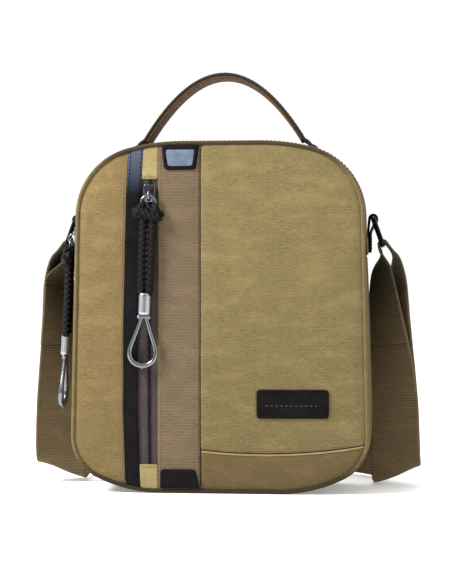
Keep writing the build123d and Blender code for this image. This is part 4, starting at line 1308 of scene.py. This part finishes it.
def strap():
    top = over_bar()
    middle = [(40.0, 108.2, RUN_Z, 0, 0, 1), (0.0, RUN_Y, RUN_Z, 0, 0, 1)]
    whole_points, whole_edges = stations(RETURN[::-1] + top + LEG + middle, 2.0)
    peak = int(np.argmax(whole_points[:, 2]))
    before = np.where(whole_points[:peak, 2] < 110)[0][-1]
    after = peak + np.where(whole_points[peak:, 2] < 110)[0][0]
    upper = slice(before, after + 1)
    obj = strap_piece("strap_right_upper", whole_points[upper], whole_edges[upper])
    declare(obj, whole_points[upper])
    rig.blend(obj, "bag", "right_ring", (0, 0, 0.140), (0, 0, 0.178))
    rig.replaces(obj, "strap_loop_right", "strap_right_leg", "strap_return_leg")

    low_points, low_edges = whole_points[after:], whole_edges[after:]
    left_points, left_edges = mirrored(low_points[::-1], low_edges[::-1])
    run_points = np.vstack([low_points, left_points[1:]])
    run_edges = np.vstack([low_edges, left_edges[1:]])
    obj = strap_piece("strap_lower_run", run_points, run_edges, "bag")
    declare(obj, run_points, "laid")
    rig.replaces(obj, "strap_right_curl", "strap_left_curl", "strap_back_run")

    flap_points, flap_edges = stations(LEG[2:7], 6.0)
    flap_points = lifted(flap_points, flap_edges, STRAP_LAYER) + (1.2, 0, 0)
    flap = list(np.hstack([flap_points, flap_edges])[::-1])
    points, edges = stations(flap[:-1] + [(121.8, 13.5, 171.0, 0.02, -1, 0)] + top + LEG[:8], 2.0)
    peak = int(np.argmax(points[:, 2]))
    end = peak + np.where(points[peak:, 2] < low_points[0][2])[0][0]
    points = np.vstack([points[:end], low_points[:1]])
    edges = np.vstack([edges[:end], low_edges[:1]])
    points, edges = mirrored(points, edges)
    obj = strap_piece("strap_left_upper", points, edges)
    declare(obj, points)
    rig.blend(obj, "bag", "left_ring", (0, 0, 0.140), (0, 0, 0.178))
    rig.replaces(obj, "strap_loop_left", "strap_left_leg")

    back_points, back_edges = whole_points[: before + 1][::-1], whole_edges[: before + 1][::-1]
    curl_points, curl_edges = stations(LEG[9:] + [(40.0, RUN_Y, RUN_Z, 0, 0, 1)], 2.0)
    curl_points = lifted(curl_points, curl_edges, STRAP_LAYER)
    keep = back_points[:, 2] > 40
    points = smooth_rows(np.vstack([back_points[keep], curl_points[1:]]))
    edges = np.vstack([back_edges[keep], curl_edges[1:]])
    last = np.where(points[:, 0] > 57.5)[0][-1]
    obj = strap_piece("strap_return_run", points[: last + 1], edges[: last + 1], "bag")
    declare(obj, points[: last + 1], "laid")
    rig.replaces(obj, "strap_return_curl")

    sewn = [(58.0, 110.35), (40.0, 110.3), (22.0, 110.6), (15.0, 112.2), (12.4, 114.6)]
    sewn += [(10.0, 114.2), (9.2, 111.5), (10.0, 109.9)]
    line = resample(smooth_line([(x, y, RUN_Z) for x, y in sewn]), 1.5)
    obj = strap_piece("strap_sewn_end_web", line, across(line, (0.0, 0.0, 1.0)))
    declare(obj, line, "laid")
    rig.blend(obj, "bag", "adjuster", (0.058, 0, 0), (0.030, 0, 0))
    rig.replaces(obj, "strap_sewn_end")


def smooth_rows(points, passes=6):
    points = points.copy()
    for _ in range(passes):
        points[1:-1] = (points[:-2] + 2 * points[1:-1] + points[2:]) / 4
    return points


# ---------------------------------------------------------------- inside, hardware, stage
def paint(node, mat, slot):
    obj = frame["nodes"][node]
    obj.data.materials.clear()
    obj.data.materials.append(M[mat])
    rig.slot(obj, slot)


def hidden_parts():
    """What is inside the bag keeps its CAD shape, in cloth."""
    for slot, nodes in (
        ("lining", "front_lining back_lining gusset_lining inner_slip_pocket front_pocket_pouch"),
        ("foam", "front_padding back_padding"),
        ("board", "base_board"),
    ):
        for node in nodes.split():
            paint(node, "lining", slot)


def hardware():
    for node in ("strap_ring_left", "strap_ring_right", "strap_adjuster"):
        paint(node, "black_metal", "black_metal")
    for node in ("front_pull_ring", "main_pull_ring"):
        paint(node, "silver", "silver_metal")


def sheet(name, corners, mat):
    """A flat quad that belongs to the stage."""
    data = bpy.data.meshes.new(name)
    data.from_pydata(corners, [], [(0, 1, 2, 3)])
    data.materials.append(mat)
    obj = linked(name, data)
    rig.stage(obj)
    return obj


def stage():
    n = Nodes("floor", (0.9, 0.9, 0.9), 0.6)
    n.set("Emission Color", (1.0, 1.0, 1.0))
    n.set("Emission Strength", 0.22)
    n.set("Specular IOR Level", 0.2)
    size = 12.0
    sheet("floor", [(-size, -size, 0), (size, -size, 0), (size, size, 0), (-size, size, 0)], n.mat)
    world = bpy.data.worlds.new("world")
    world.use_nodes = True
    inputs = world.node_tree.nodes["Background"].inputs
    inputs[0].default_value, inputs[1].default_value = (1, 1, 1, 1), 1.03
    bpy.context.scene.world = world
    for name, where, power, size in (
        ("key", (-1.15, -0.75, 1.25), 52, 0.45),
        ("fill", (1.2, -1.2, 0.7), 5, 1.0),
        ("top", (0.1, 0.2, 1.6), 9, 0.9),
    ):
        data = bpy.data.lights.new(name, "AREA")
        data.energy, data.size = power, size
        light = linked(name, data)
        light.location = where
        light.rotation_euler = (Vector((0, 0, 0.13)) - Vector(where)).to_track_quat("-Z", "Y").to_euler()
        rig.stage(light)
    dark = Nodes("dark_card", (0.02, 0.02, 0.02), 0.9)
    corners = [(-0.9, -1.7, 0), (0.9, -1.7, 0), (0.9, -1.7, 1.0), (-0.9, -1.7, 1.0)]
    sheet("dark_card", corners, dark.mat).visible_camera = False
    bpy.context.scene.view_settings.view_transform = "Standard"


camera()
pulls()
front_panel()
front_trim()
front_seams()
front_zip()
back_panel()
gusset()
piping()
handle()
ring_tabs()
strap()
hidden_parts()
hardware()
stage()

bpy.context.view_layer.update()
with open("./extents.json", "w") as out:
    json.dump([[list(map(float, v)) for v in CAD_BOX], [list(map(float, v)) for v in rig.bounds()]], out)
